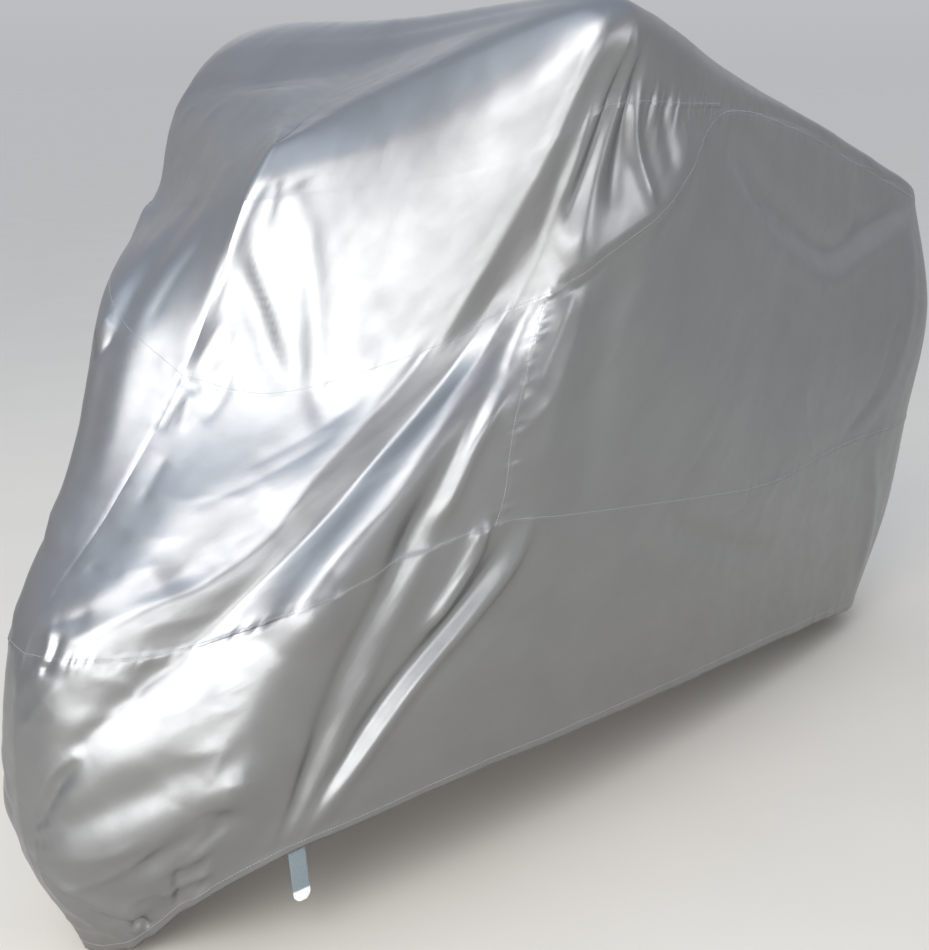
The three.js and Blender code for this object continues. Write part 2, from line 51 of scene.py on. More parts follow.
# Sections of the left side
LEFT_SECTIONS = {
    "front": Section(60, (-1040, 0, 0), (-1112, 0, 190), (-1095, 0, 465), (-948, 0, 640), (-825, 0, 798),
                     (-705, 0, 1035), (-660, 0, 1104), (-640, 0, 1112)),
    "lamp": Section(60, (-1020, -40, 2), (-1092, -62, 205), (-1072, -62, 468), (-918, -88, 625),
                    (-758, -100, 778), (-640, -100, 1050), (-585, -120, 1155), (-590, 0, 1140)),
    "slope": Section(55, (-990, -88, 32), (-1036, -125, 230), (-980, -142, 470), (-810, -184, 645),
                     (-635, -222, 822), (-545, -285, 1080), (-492, -328, 1246), (-525, 0, 1182)),
    "dip": Section(40, (-958, -128, 77), (-975, -170, 270), (-882, -208, 500), (-726, -248, 680),
                   (-570, -285, 858), (-495, -355, 1110), (-452, -405, 1280), (-475, 0, 1220)),
    "crest": Section(30, (-912, -172, 117), (-895, -212, 300), (-785, -258, 537), (-652, -292, 712),
                     (-520, -322, 888), (-458, -388, 1140), (-430, -430, 1290), (-440, 0, 1256)),
    "grip": Section(25, (-825, -216, 155), (-700, -270, 370), (-530, -330, 592), (-517, -353, 755),
                    (-468, -360, 912), (-412, -402, 1160), (-398, -440, 1299), (-400, 0, 1284)),
    "knee": Section(25, (-750, -236, 166), (-590, -292, 370), (-395, -334, 573), (-400, -360, 770),
                    (-385, -381, 958), (-350, -406, 1165), (-338, -432, 1290), (-325, 0, 1246)),
    "tank": Section(25, (-530, -256, 172), (-410, -302, 365), (-240, -328, 550), (-258, -362, 790),
                    (-265, -391, 1020), (-245, -400, 1160), (-235, -404, 1268), (-210, 0, 1212)),
    "saddle": Section(25, (-210, -260, 160), (-130, -296, 350), (-20, -310, 516), (-65, -342, 800),
                      (-104, -370, 1138), (-100, -368, 1155), (-80, -358, 1228), (-30, 0, 1150)),
    "seat": Section(25, (180, -238, 134), (200, -262, 315), (225, -278, 480), (232, -282, 780),
                    (240, -284, 1108), (242, -282, 1122), (250, -274, 1154), (280, 0, 1082)),
    "pillion": Section(25, (550, -192, 92), (560, -212, 290), (580, -228, 480), (595, -226, 750),
                       (605, -200, 1026), (610, -198, 1040), (620, -190, 1068), (640, 0, 1022)),
    "tail": Section(25, (858, -120, 40), (925, -150, 250), (965, -160, 462), (1012, -165, 700),
                    (985, -128, 925), (987, -124, 940), (985, -112, 964), (965, 0, 972)),
    "rear": Section(25, (945, 0, 28), (1065, 0, 250), (1112, 0, 462), (1130, 0, 700), (1068, 0, 905),
                    (1060, 0, 920), (1035, 0, 948), (1005, 0, 956)),
}

# Sections of the right side that differ from the mirrored left side
RIGHT_SECTIONS = {
    "lamp": Section(60, (-1020, 50, 2), (-1096, 66, 205), (-1078, 66, 468), (-958, 84, 668),
                    (-850, 110, 868), (-690, 110, 1030), (-590, 120, 1135), (-590, 0, 1140)),
    "slope": Section(55, (-988, 100, 30), (-1038, 130, 230), (-1000, 140, 480), (-900, 162, 690),
                     (-815, 186, 908), (-655, 235, 1010), (-530, 270, 1165), (-525, 0, 1182)),
    "dip": Section(45, (-940, 150, 60), (-950, 190, 270), (-900, 220, 510), (-800, 250, 730),
                   (-695, 300, 950), (-572, 388, 1025), (-508, 438, 1155), (-475, 0, 1220)),
    "crest": Section(40, (-870, 190, 95), (-840, 235, 310), (-760, 275, 550), (-670, 315, 770),
                     (-570, 370, 985), (-495, 430, 1095), (-450, 455, 1225), (-440, 0, 1256)),
    "grip": Section(35, (-790, 220, 120), (-710, 270, 370), (-610, 320, 590), (-550, 350, 790),
                    (-470, 395, 995), (-400, 432, 1150), (-378, 448, 1262), (-400, 0, 1284)),
    "knee": Section(30, (-690, 240, 135), (-590, 292, 370), (-450, 332, 575), (-420, 362, 785),
                    (-380, 395, 1005), (-335, 418, 1155), (-325, 428, 1256), (-325, 0, 1246)),
}

# A fold of the cloth follows its path of (u, v) points. It stands out by rise, or lies in where that is
# negative.
Fold = namedtuple("Fold", "name rise width path")

# Paths of the folds that have a crease along their crest
MAIN_CREST = [(4, 5.8), (3.5, 5), (2.95, 4.4), (2.4, 3.8), (2.2, 3.3), (2.25, 2.75), (1.9, 2.5),
              (1.4, 2.32), (0.9, 2.12)]
RIGHT_CREST = [(4.2, 5.4), (3.6, 4.5), (3.2, 3.4), (2.8, 2.4), (2.2, 1.4)]
RIGHT_SECOND_CREST = [(5.3, 5.2), (5.1, 4.2), (4.8, 3), (4.6, 2), (4.4, 0.8)]

# Main folds of the left side. Their width is the distance at which they have mostly gone.
LEFT_FOLDS = [
    Fold("main crest", 6, 30, MAIN_CREST),
    Fold("main valley", -17, 44,
         [(3.85, 4.7), (3.55, 4.2), (3.15, 3.6), (2.95, 3), (2.65, 2.3), (2.25, 1.93), (1.9, 1.78)]),
    Fold("low main valley", -6, 20, [(2.25, 1.93), (1.75, 1.72), (1.35, 1.53), (0.95, 1.36), (0.5, 1.2)]),
    Fold("second crest", 16, 42,
         [(4.5, 3.7), (4.2, 3.05), (4.08, 2.65), (3.95, 2.3), (3.85, 1.95), (3.8, 1.7)]),
    Fold("low second crest", 10, 60, [(3.95, 2.15), (3.82, 1.75), (3.75, 1.4), (3.65, 1.05), (3.5, 0.85)]),
    Fold("skirt band", 5, 34, [(3, 1.67), (2.4, 1.56), (1.85, 1.43), (1, 1.23)]),
    Fold("second valley", -13, 26, [(4.72, 4.2), (4.5, 3.4), (4.37, 2.7), (4.38, 2.05)]),
    Fold("low second valley", -8, 19, [(4.37, 2.4), (4.4, 2), (4.42, 1.5), (4.52, 0.97), (4.58, 0.4)]),
    Fold("third crest", 6, 12, [(4.72, 3.3), (4.6, 2.88), (4.57, 2.5), (4.52, 2.2)]),
    Fold("grip dark valley", -3.5, 15, [(4.3, 5.7), (4.1, 5.3), (4.1, 4.8), (4.3, 4.5), (4.5, 4.2)]),
    Fold("grip inner crest", 2.5, 14, [(5, 5.8), (4.85, 5.3), (4.7, 4.85), (4.55, 4.5)]),
    Fold("grip middle valley", -5, 13, [(5.1, 5.6), (5.02, 5.1), (4.98, 4.7), (5, 4.3)]),
    Fold("grip outer crest", 5.5, 19, [(5.25, 5.9), (5.35, 5.4), (5.32, 4.9), (5.3, 4.5), (5.4, 4.15)]),
    Fold("grip outer valley", -6, 16, [(5.7, 5.6), (5.75, 5.1), (5.85, 4.7), (6, 4.3)]),
    Fold("grip last crest", 5, 13, [(5.9, 5.2), (6.12, 4.8), (6.4, 4.5), (6.7, 4.15)]),
    Fold("grip last valley", -3, 16, [(6.6, 5.1), (6.85, 4.7), (7.05, 4.3)]),
    Fold("wedge puff", 12, 55, [(5.15, 4.14), (5.8, 4.14), (6.5, 4.14), (7.2, 4.12), (7.7, 4.1)]),
    Fold("corner crest", 8, 13, [(4.85, 2.12), (4.9, 1.8), (4.93, 1.6), (4.95, 1.35)]),
    Fold("strap valley", -6, 14,
         [(5.15, 1.95), (5.2, 1.55), (5.18, 1.2), (5.05, 0.85), (4.95, 0.5), (4.88, 0.2)]),
    Fold("strap outer crest", 10, 19,
         [(5.4, 2), (5.48, 1.7), (5.46, 1.3), (5.38, 1), (5.28, 0.65), (5.13, 0.38), (4.98, 0.1)]),
    Fold("front band", 17, 85,
         [(0.25, 0.98), (0.9, 0.95), (1.85, 0.9), (2.4, 0.87), (3, 0.87), (3.5, 0.9), (4, 0.97),
          (4.3, 1.02)]),
    Fold("front trough", -5, 26, [(0.5, 1.12), (1.45, 1.2), (2.55, 1.22), (3.4, 1.17), (3.9, 1.25)]),
    Fold("tucked edge", -9, 26, [(2.1, 0.7), (2.6, 0.7), (3.1, 0.7), (3.6, 0.72), (3.95, 0.76)]),
    Fold("toe crease", 5, 18, [(0.3, 1), (0.9, 0.75), (1.5, 0.5), (2, 0.2)]),
    Fold("front dip", -5, 22, [(0.7, 2.2), (1.1, 2.33), (1.5, 2.5), (1.85, 2.7)]),
    Fold("cheek", -4, 36, [(1.35, 2.6), (1.65, 2.85), (1.9, 3.1)]),
    Fold("nose crest", 2.5, 22, [(0.6, 5.25), (0.75, 4.9), (1, 4.5), (1.2, 4.1)]),
    Fold("nose dip", -4, 20, [(0.42, 5.2), (0.75, 4.9), (1.02, 4.6), (1.2, 4.3), (1.4, 4), (1.8, 3.6)]),
    Fold("nose chevron", -4, 18, [(0.1, 4.62), (0.35, 4.5), (0.6, 4.37), (0.88, 4.2), (1.2, 4.05)]),
    Fold("breast dent", -3, 30, [(1.5, 4.45), (1.75, 4.22), (2, 4.12), (2.35, 4.2)]),
    Fold("side swag", -14, 32,
         [(8.15, 3.78), (8.55, 3.61), (9.1, 3.46), (9.7, 3.36), (10.2, 3.56), (10.65, 3.86)]),
    Fold("swag lip", 5, 30,
         [(8.15, 3.62), (8.55, 3.45), (9.1, 3.3), (9.7, 3.2), (10.2, 3.4), (10.65, 3.7)]),
    Fold("side wave", 5, 32, [(5.6, 3.95), (5.6, 3.2), (5.45, 2.2)]),
    Fold("side hollow", -6, 40, [(6.5, 3.9), (6.3, 3.2), (6.2, 2.1)]),
    Fold("skirt crease", -6, 22, [(7.6, 1.9), (8, 1.68), (8.5, 1.5), (9.2, 1.2)]),
    Fold("rear edge", 4, 30, [(10.65, 3.7), (10.6, 3.1), (10.45, 2.4), (10.1, 2.02)]),
    Fold("rear corner", 6, 26, [(10.35, 1.9), (10.55, 1.2), (10.7, 0.4)]),
]

# Folds of the right side, which hangs more plainly
RIGHT_FOLDS = [
    Fold("main crest", 12, 36, RIGHT_CREST),
    Fold("main valley", -14, 44, [(4.8, 5.3), (4.4, 4.4), (4, 3.3), (3.6, 2.3), (3, 1.2)]),
    Fold("second crest", 12, 42, RIGHT_SECOND_CREST),
    Fold("second valley", -10, 34, [(5.8, 5.1), (5.7, 4), (5.5, 3), (5.3, 2), (5.1, 0.6)]),
    Fold("third crest", 8, 36, [(6.4, 4.6), (6.3, 3.4), (6.1, 2.2), (5.9, 0.8)]),
    Fold("lamp dip", -8, 26, [(1.4, 5.2), (1.2, 4.6), (1, 3.8), (0.8, 2.9)]),
    Fold("side swag", -8, 36, [(8, 3.7), (8.8, 3.45), (9.6, 3.45), (10.6, 3.9)]),
    Fold("front band", 8, 36, [(0.5, 1.1), (1.4, 1.12), (2.6, 1.1), (3.8, 1)]),
    Fold("tucked edge", -8, 34, [(0.6, 0.75), (1.6, 0.75), (2.8, 0.72), (3.8, 0.65)]),
]

# Fine creases of the left side, which are sharper than the folds. Their width is the distance over which they
# fall to about a third.
LEFT_CREASES = [
    Fold("main crest line", 2, 14, MAIN_CREST),
    Fold("main valley line", -3.3, 12,
         [(3.6, 4.2), (3.25, 3.65), (3.02, 3.2), (2.93, 2.8), (2.65, 2.35), (2.35, 2)]),
    Fold("second crest line", 2.2, 12,
         [(4.2, 3.05), (4.1, 2.85), (4.06, 2.62), (3.9, 2.5), (3.6, 2.1), (3.4, 1.9)]),
    Fold("thin line beside the crest", -1.4, 7, [(2.62, 4.3), (2.5, 4.1), (2.38, 3.9), (2.22, 3.6)]),
    Fold("soft line in the slope", -2.2, 14,
         [(3.45, 6.1), (3.15, 5.5), (2.95, 5), (2.75, 4.6), (2.6, 4.35)]),
    Fold("thin blue crest", 2.2, 8, [(4.5, 5.1), (4.5, 4.75), (4.45, 4.5), (4.4, 4.25)]),
    Fold("low blue crest", 2.2, 9, [(4.4, 4.3), (4.1, 3.95), (3.95, 3.6), (3.85, 3.3)]),
    Fold("short blue crest", 1.7, 8, [(4.65, 3.95), (4.62, 3.7), (4.65, 3.45)]),
    Fold("third crest line", 2.2, 8, [(4.72, 3.2), (4.6, 2.88), (4.57, 2.6), (4.5, 2.25)]),
    Fold("grip crest line", 2.2, 8, [(5, 5.9), (4.85, 5.3), (4.7, 4.85), (4.55, 4.55)]),
    Fold("outer grip line", 1.7, 10, [(5.22, 6), (5.35, 5.4), (5.3, 4.9), (5.3, 4.5)]),
    Fold("last grip line", 2.8, 7, [(5.95, 5), (6.12, 4.78), (6.4, 4.5), (6.7, 4.18)]),
    Fold("faint line", 1.1, 9, [(5.85, 5.8), (5.95, 5.4), (6, 5.05)]),
    Fold("second faint line", 1.4, 8, [(6.35, 5.35), (6.5, 5), (6.65, 4.65)]),
    Fold("third faint line", 1.4, 8, [(6.85, 5.3), (7.05, 5), (7.2, 4.7), (7.25, 4.4)]),
    Fold("fourth faint line", 1.1, 8, [(7.3, 5.2), (7.5, 4.9), (7.6, 4.6)]),
    Fold("streak under the wedge", 3.3, 13, [(5.55, 3.95), (5.42, 3.7), (5.28, 3.4), (5.2, 3.15)]),
    Fold("side streak", 1.7, 16, [(5.8, 3.75), (5.62, 3.3), (5.4, 3), (5.1, 2.8)]),
    Fold("branch at the side seam", 1.7, 8, [(5, 2.8), (5.2, 2.9), (5.42, 3.02)]),
    Fold("corner line", 3.5, 8, [(4.86, 2.08), (4.9, 1.8), (4.93, 1.6), (4.95, 1.4)]),
    Fold("strap outer line", 2, 10,
         [(5.42, 1.97), (5.48, 1.7), (5.46, 1.3), (5.38, 1), (5.28, 0.65), (5.13, 0.38), (4.98, 0.1)]),
    Fold("blue skirt crest", 3.5, 9, [(4.55, 2.05), (4.57, 1.75), (4.62, 1.45), (4.7, 1.1)]),
    Fold("thin strap crest", 3.9, 8, [(4.68, 1.3), (4.71, 0.95), (4.75, 0.55), (4.72, 0.15)]),
    Fold("second thin crest", 2.2, 8, [(4.4, 1.05), (4.46, 0.8), (4.47, 0.45), (4.5, 0.12)]),
    Fold("thin strap groove", -2.8, 8, [(4.58, 1.1), (4.6, 0.7), (4.6, 0.25)]),
    Fold("third strap crest", 2.2, 8, [(4.92, 0.75), (4.88, 0.45), (4.82, 0.1)]),
    Fold("soft skirt ridge", 2.2, 24, [(5.95, 1.1), (5.75, 0.75), (5.55, 0.35), (5.3, 0.08)]),
    Fold("wide skirt ridge", 1.4, 30, [(6.5, 1.75), (6.25, 1.3), (6.1, 0.8)]),
    Fold("nose edge groove", -2.2, 9, [(0.2, 5.6), (0.14, 5.1), (0.08, 4.75), (0.03, 4.5)]),
    Fold("nose tick", -1.7, 7, [(0.28, 5.5), (0.36, 5.1), (0.4, 4.8)]),
    Fold("chevron outer crest", 2.2, 11, [(0.2, 4.78), (0.45, 4.58), (0.75, 4.42), (1, 4.25)]),
    Fold("chevron left leg", -2.8, 11, [(0.12, 4.62), (0.04, 4.45), (0, 4.25), (0, 4.1)]),
    Fold("chevron inner crest", 3.9, 11, [(0.4, 4.18), (0.25, 4.3), (0.17, 4.2), (0.1, 4.05)]),
    Fold("chevron inner flank", -2.2, 9, [(0.42, 4.2), (0.5, 4.05), (0.52, 3.9), (0.45, 3.75)]),
    Fold("seam notch", -2.5, 8, [(0.02, 4.02), (0.14, 3.96), (0.24, 4)]),
    Fold("notch branch", 1.7, 6, [(0.15, 3.93), (0.22, 3.8), (0.3, 3.66)]),
    Fold("second notch branch", 1.7, 6, [(0.2, 4), (0.27, 4.1), (0.3, 4.2)]),
    Fold("third notch branch", -1.7, 7, [(0.1, 3.92), (0.05, 3.75), (0.04, 3.6)]),
    Fold("small dent", -2.2, 12, [(0.3, 3.45), (0.32, 3.3), (0.4, 3.08)]),
    Fold("cheek line", -1.4, 12, [(1.3, 3.45), (1.6, 3.6), (1.95, 3.8)]),
    Fold("second cheek line", -1.7, 12, [(1.1, 3.15), (1.5, 3.32), (1.9, 3.52)]),
    Fold("front ray", -1.4, 9, [(0.25, 2.62), (0.6, 2.6), (0.95, 2.64)]),
    Fold("second front ray", -1.7, 9, [(0.35, 2.24), (0.65, 2.28), (0.95, 2.36)]),
    Fold("line under the crest", -1.5, 12, [(0.9, 2.06), (1.4, 2.18), (1.85, 2.36)]),
    Fold("waist knot", 4.4, 9, [(0.35, 2.2), (0.55, 2.1), (0.62, 1.98)]),
    Fold("waist knot groove", -4.4, 8, [(0.7, 2.16), (0.72, 2.02), (0.6, 1.93)]),
    Fold("waist knot foot", 2.8, 8, [(0.3, 1.94), (0.45, 1.9), (0.6, 1.95)]),
    Fold("upper gather", 2.2, 12, [(0.12, 1.62), (0.6, 1.75), (1.1, 1.88)]),
    Fold("gather crest", 5.5, 9, [(0.42, 1.2), (0.8, 1.38), (1.15, 1.47), (1.45, 1.52)]),
    Fold("gather groove", -5.5, 9, [(0.42, 1.14), (0.8, 1.26), (1.25, 1.44)]),
    Fold("second gather crest", 3.5, 7, [(0.4, 1.09), (0.6, 1.13), (0.85, 1.16)]),
    Fold("second gather groove", -3.5, 7, [(0.38, 1.06), (0.55, 1.07), (0.8, 1.08)]),
    Fold("third gather crest", 1.7, 6, [(0.36, 1.03), (0.5, 1.03), (0.72, 1.04)]),
    Fold("toe crest line", 7, 9, [(0.28, 1), (0.7, 0.85), (1.1, 0.68), (1.6, 0.42), (2, 0.22)]),
    Fold("toe groove", -7, 10, [(0.25, 0.92), (0.6, 0.76), (0.95, 0.56), (1.25, 0.34)]),
    Fold("toe second crest", 6, 9, [(0.2, 0.84), (0.45, 0.64), (0.8, 0.36)]),
    Fold("toe crumple", 8, 9, [(1.55, 0.22), (1.75, 0.14), (1.95, 0.16)]),
    Fold("toe crumple groove", -8, 9, [(1.75, 0.26), (1.95, 0.2), (2.1, 0.08)]),
    Fold("hem mark", 5, 10, [(2.72, 0.45), (2.74, 0.3), (2.76, 0.14)]),
    Fold("hem mark groove", -5, 9, [(2.95, 0.5), (2.93, 0.3), (2.92, 0.08)]),
    Fold("second hem mark", 4, 13, [(3.1, 0.12), (3.35, 0.2), (3.62, 0.36)]),
    Fold("hem flap", 4, 14, [(3.15, 0.5), (3.5, 0.55), (3.9, 0.62)]),
    Fold("band kink", 2.8, 9, [(3.55, 1.06), (3.8, 1.02), (3.97, 1)]),
    Fold("band branch", 1.7, 7, [(3.3, 1.1), (3.38, 1.2), (3.45, 1.3)]),
    Fold("rear strip groove", -2.8, 12, [(10.55, 3.2), (10.42, 2.75), (10.3, 2.35), (9.95, 2.05)]),
    Fold("swag upper lip", 2.2, 14, [(9.55, 3.5), (9.9, 3.48), (10.4, 3.72), (10.7, 3.95)]),
    Fold("seat fold", -1.7, 14, [(7.6, 2.1), (7.9, 2.3), (8.15, 2.45)]),
    Fold("second seat fold", 1.7, 16, [(9.2, 2.1), (9.05, 1.8), (9, 1.5)]),
    Fold("third seat fold", -1.7, 13, [(8.9, 2.05), (8.75, 1.85), (8.5, 1.78)]),
    Fold("tail wave", 1.7, 15, [(9.6, 2.05), (9.45, 2.35), (9.4, 2.6)]),
    Fold("wedge lip", 2.5, 14, [(5.05, 4.08), (5.6, 4.1), (6.2, 4.1), (6.9, 4.1), (7.5, 4.1), (7.8, 4.12)]),
    Fold("hollow under the wedge", -4, 15,
         [(5.15, 3.9), (5.6, 3.91), (6.2, 3.92), (6.9, 3.93), (7.4, 3.94), (7.8, 3.95)]),
    Fold("front band line", 3, 14,
         [(0.4, 1), (1, 0.97), (1.85, 0.93), (2.4, 0.9), (3, 0.9), (3.5, 0.93), (3.95, 0.97)]),
    Fold("rear fold", 3.5, 24, [(11.2, 3.7), (11.4, 3), (11.35, 2.15)]),
    Fold("rear skirt fold", 4, 24, [(11.3, 1.9), (11.2, 1.2), (11.4, 0.25)]),
]

# Fine creases of the right side
RIGHT_CREASES = [
    Fold("main crest line", 2.2, 14, RIGHT_CREST),
    Fold("second crest line", 2.2, 13, RIGHT_SECOND_CREST),
    Fold("seam facet", 3.9, 18, [(1.35, 3.95), (1.5, 3.82), (1.7, 3.72)]),
    Fold("seam facet groove", -3.3, 10, [(1.05, 3.92), (1.2, 3.76), (1.5, 3.62), (1.9, 3.58)]),
    Fold("nose groove", -2.2, 12, [(0.5, 4.7), (0.6, 4.4), (0.62, 4.12)]),
    Fold("front fold", 2.8, 12, [(0.9, 2.72), (1.4, 2.7), (2, 2.78)]),
    Fold("front fold groove", -3.3, 11, [(0.7, 2.55), (1.3, 2.55), (2, 2.6)]),
    Fold("waist fold", 2.2, 10, [(0.5, 2.06), (1, 2.14), (1.6, 2.2)]),
    Fold("gather crest", 2.2, 10, [(0.4, 1.2), (0.9, 1.38), (1.5, 1.5)]),
    Fold("gather groove", -2.2, 9, [(0.4, 1.12), (0.9, 1.24), (1.5, 1.3)]),
    Fold("toe crest line", 2.2, 9, [(0.35, 0.95), (0.9, 0.7), (1.5, 0.42), (2.1, 0.2)]),
    Fold("grip crest line", 2.2, 9, [(4.95, 5.7), (4.85, 5.2), (4.8, 4.7), (4.7, 4.3)]),
    Fold("outer grip line", 1.7, 10, [(5.5, 5.7), (5.6, 5.2), (5.6, 4.7), (5.7, 4.2)]),
    Fold("last grip line", 1.7, 9, [(6.2, 5.2), (6.4, 4.8), (6.7, 4.3)]),
    Fold("lid dent", -2.8, 22, [(3.3, 6.7), (3.1, 7.2), (2.7, 7.6)]),
    Fold("lid ridge", 2.2, 16, [(3.7, 6.6), (3.5, 7.1), (3.1, 7.5)]),
    Fold("grip crinkle", 2.8, 9, [(3.2, 6.1), (3.35, 6.45), (3.4, 6.8)]),
    Fold("second grip crinkle", 2.2, 8, [(2.7, 6.1), (2.8, 6.5), (2.75, 6.8)]),
    Fold("third grip crinkle", 2.2, 8, [(2.2, 6), (2.25, 6.4), (2.2, 6.7)]),
    Fold("skirt crease", -2.2, 18, [(7.4, 1.9), (8.1, 1.6), (8.9, 1.3)]),
    Fold("seat fold", 3, 20, [(9.3, 2.05), (9.1, 2.35), (9.05, 2.7)]),
    Fold("second seat fold", -3, 20, [(8.2, 2.08), (8.5, 2.3), (8.9, 2.45)]),
    Fold("long side ridge", 4, 30, [(7.3, 3.7), (7.1, 3), (6.95, 2.15)]),
    Fold("short side ridge", 3, 22, [(6.5, 3.3), (6.4, 2.8), (6.3, 2.2)]),
    Fold("tail wave", 4, 26, [(9.9, 3.3), (9.75, 2.8), (9.7, 2.15)]),
    Fold("soft skirt ridge", 4, 26, [(6.5, 1.9), (6.3, 1.2), (6, 0.25)]),
    Fold("wide skirt ridge", 4.5, 32, [(7.9, 1.85), (7.65, 1.2), (7.4, 0.4)]),
    Fold("rear skirt ridge", 4, 26, [(9.5, 1.9), (9.6, 1.2), (9.85, 0.3)]),
    Fold("rear fold", 3.5, 26, [(11.3, 3.6), (11.5, 2.9), (11.4, 2.15)]),
    Fold("rear skirt fold", 4, 24, [(11, 1.9), (11.2, 1.2), (11.1, 0.25)]),
    Fold("rear strip groove", -2.2, 12, [(10.6, 3.3), (10.45, 2.8), (10.3, 2.3), (10, 2.05)]),
]

# Levels of the surface in order, and the sections where the seams lie
LEVELS = ("hem", "shin", "waist", "hip", "breast", "yoke", "shoulder", "brow", "spine")
LEVEL = {name: index for index, name in enumerate(LEVELS)}
LINES = Section._fields[1:]
FRONT = 0
SIDE_SEAM = 5
WEDGE_TIP = 8
REAR = len(LEFT_SECTIONS) - 1

# Puckers along the seams that run along a level, from one section to another, as uneven waves: their rise,
# the distance from one to the next and how far from the seam they reach
LEVEL_PUCKERS = [
    dict(at="waist", first=0, last=3, rise=1.3, pitch=13, reach=11),
    dict(at="waist", first=3, last=5.4, rise=1.5, pitch=17, reach=16),
    dict(at="waist", first=5.4, last=12, rise=0.7, pitch=24, reach=14),
    dict(at="breast", first=0, last=5, rise=0.5, pitch=20, reach=13),
    dict(at="breast", first=4.8, last=8, rise=1.3, pitch=15, reach=15),
    dict(at="breast", first=8, last=12, rise=0.8, pitch=22, reach=14),
    dict(at="yoke", first=4.4, last=8, rise=2.2, pitch=14, reach=24),
    dict(at="hem", first=0, last=3.6, rise=3.2, pitch=34, reach=38),
    dict(at="hem", first=3.4, last=5.6, rise=2.4, pitch=22, reach=34),
    dict(at="hem", first=5.6, last=10.4, rise=0.7, pitch=40, reach=22),
    dict(at="hem", first=10.2, last=12, rise=2.4, pitch=34, reach=36),
]

# Puckers along the seams that run up a section
SECTION_PUCKERS = [
    dict(at=SIDE_SEAM, low="waist", high="breast", rise=1.2, pitch=16, reach=13),
    dict(at=FRONT, low="hem", high="yoke", rise=0.4, pitch=15, reach=12),
    dict(at=REAR, low="hem", high="breast", rise=1, pitch=18, reach=12),
]

# How far the puckers go on past their ends, in sections and in levels, the share of their rise that varies
# along a seam, and over what distance it varies
PUCKER_FADE = 0.3
PUCKER_FADE_UP = 0.05
UNEVEN_SHARE = 0.4
UNEVEN_PITCH = 200 * MM

# Uneven ripples of the whole cloth: their height, and how far apart they are along and up the cloth
RIPPLES = [
    dict(rise=1.2, along=120, up=420),
    dict(rise=0.4, along=48, up=150),
    dict(rise=0.15, along=20, up=34),
]

# Crumpled patches between two values of u and two of v, with sharp ridges: their height, how far apart the
# ridges are along and up the cloth, and how far they lean over
CRUMPLES = [
    dict(at="toe", first=0.3, last=3.4, low=0.05, high=0.7, rise=6, along=58, up=36, lean=0.5),
    dict(at="skirt front", first=0.3, last=3.2, low=0.7, high=1.9, rise=2.2, along=80, up=42, lean=0.9),
    dict(at="front", first=0.3, last=2.2, low=2.05, high=3.2, rise=1.6, along=95, up=60, lean=0.7),
]

# How far a crumpled patch goes on past its ends, and the height of a wave at which it lies level
CRUMPLE_FADE = 0.3
CRUMPLE_MEAN = 0.5

# The first seed of each kind of wave on either side
SEEDS = {
    "level puckers": dict(left=0, right=100),
    "uneven puckers": dict(left=50, right=150),
    "ripples": dict(left=300, right=310),
    "section puckers": dict(left=500, right=510),
    "crumples": dict(left=700, right=710),
}

# How the surface is worked out: the most that the ridge's rounding takes of a rib, the points and the fading
# ends of a fold, how many widths away a fold or crease still counts, the rounding of a crease's top and of
# the hollow along the spine, and the shortest step of a curve
ROUND_SHARE = 0.45
FOLD_POINTS = 5
FOLD_FADE = 0.2
FOLD_REACH = 3.0
CREASE_REACH = 5.0
CREASE_ROUND = 2.5 * MM
SPINE_ROUND = 40 * MM
TINY = 1e-9

# Sizes of the mesh cells along and up the cloth
CELL_ALONG = 4.5 * MM
CELL_UP = 5.5 * MM

# Sewing: a seam's lap under the piece above it, how far the upper piece stands out and over what width, the
# stretches of the seams that lie flush and what is left of the lap there, the groove of the centre seams, the
# hem's turned-in band, and the stitches
LAP_CELLS = 2
LAP_SINK = 1.0 * MM
SEAM_LIFT = 1.3 * MM
SEAM_WELT = 11 * MM
LAPPED_YOKE = 4.3
FLUSH = [("yoke", FRONT, LAPPED_YOKE), ("breast", FRONT, 4.4), ("breast", WEDGE_TIP, REAR)]
FLUSH_FADE = 0.5
FLUSH_LAP = 0.06
GROOVE_DEPTH = 0.8 * MM
GROOVE_WIDTH = 4 * MM
HEM_BAND = 22 * MM
HEM_LIFT = 0.9 * MM
HEM_THICK = 2.0 * MM
STITCH_PITCH = 4.6 * MM
STITCH_LENGTH = 3.4 * MM
STITCH_WIDTH = 0.9 * MM
STITCH_HEIGHT = 0.6 * MM
STITCH_INSET = 5 * MM

# The shapes of the sewn pieces: their patches of (first u, last u, lowest level, highest level), the edges
# of (level, first u, last u) where they lie over or under the next piece, and how they lie at the side seam:
# 1 for over, -1 for under
SHAPES = {
    "top_panel": dict(
        patches=[(FRONT, REAR, "yoke", "spine"), (WEDGE_TIP, REAR, "breast", "yoke")],
        over=[("yoke", FRONT, WEDGE_TIP), ("breast", WEDGE_TIP, REAR)], under=[], side_edge=0),
    "upper_front": dict(
        patches=[(FRONT, WEDGE_TIP, "breast", "yoke")],
        over=[("breast", FRONT, WEDGE_TIP)], under=[("yoke", FRONT, WEDGE_TIP)], side_edge=0),
    "front": dict(
        patches=[(FRONT, SIDE_SEAM, "waist", "breast")],
        over=[("waist", FRONT, SIDE_SEAM)], under=[("breast", FRONT, SIDE_SEAM)], side_edge=1),
    "side": dict(
        patches=[(SIDE_SEAM, REAR, "waist", "breast")],
        over=[("waist", SIDE_SEAM, REAR)], under=[("breast", SIDE_SEAM, REAR)], side_edge=-1),
    "skirt": dict(
        patches=[(FRONT, REAR, "hem", "waist")],
        over=[], under=[("waist", FRONT, REAR)], side_edge=0),
}

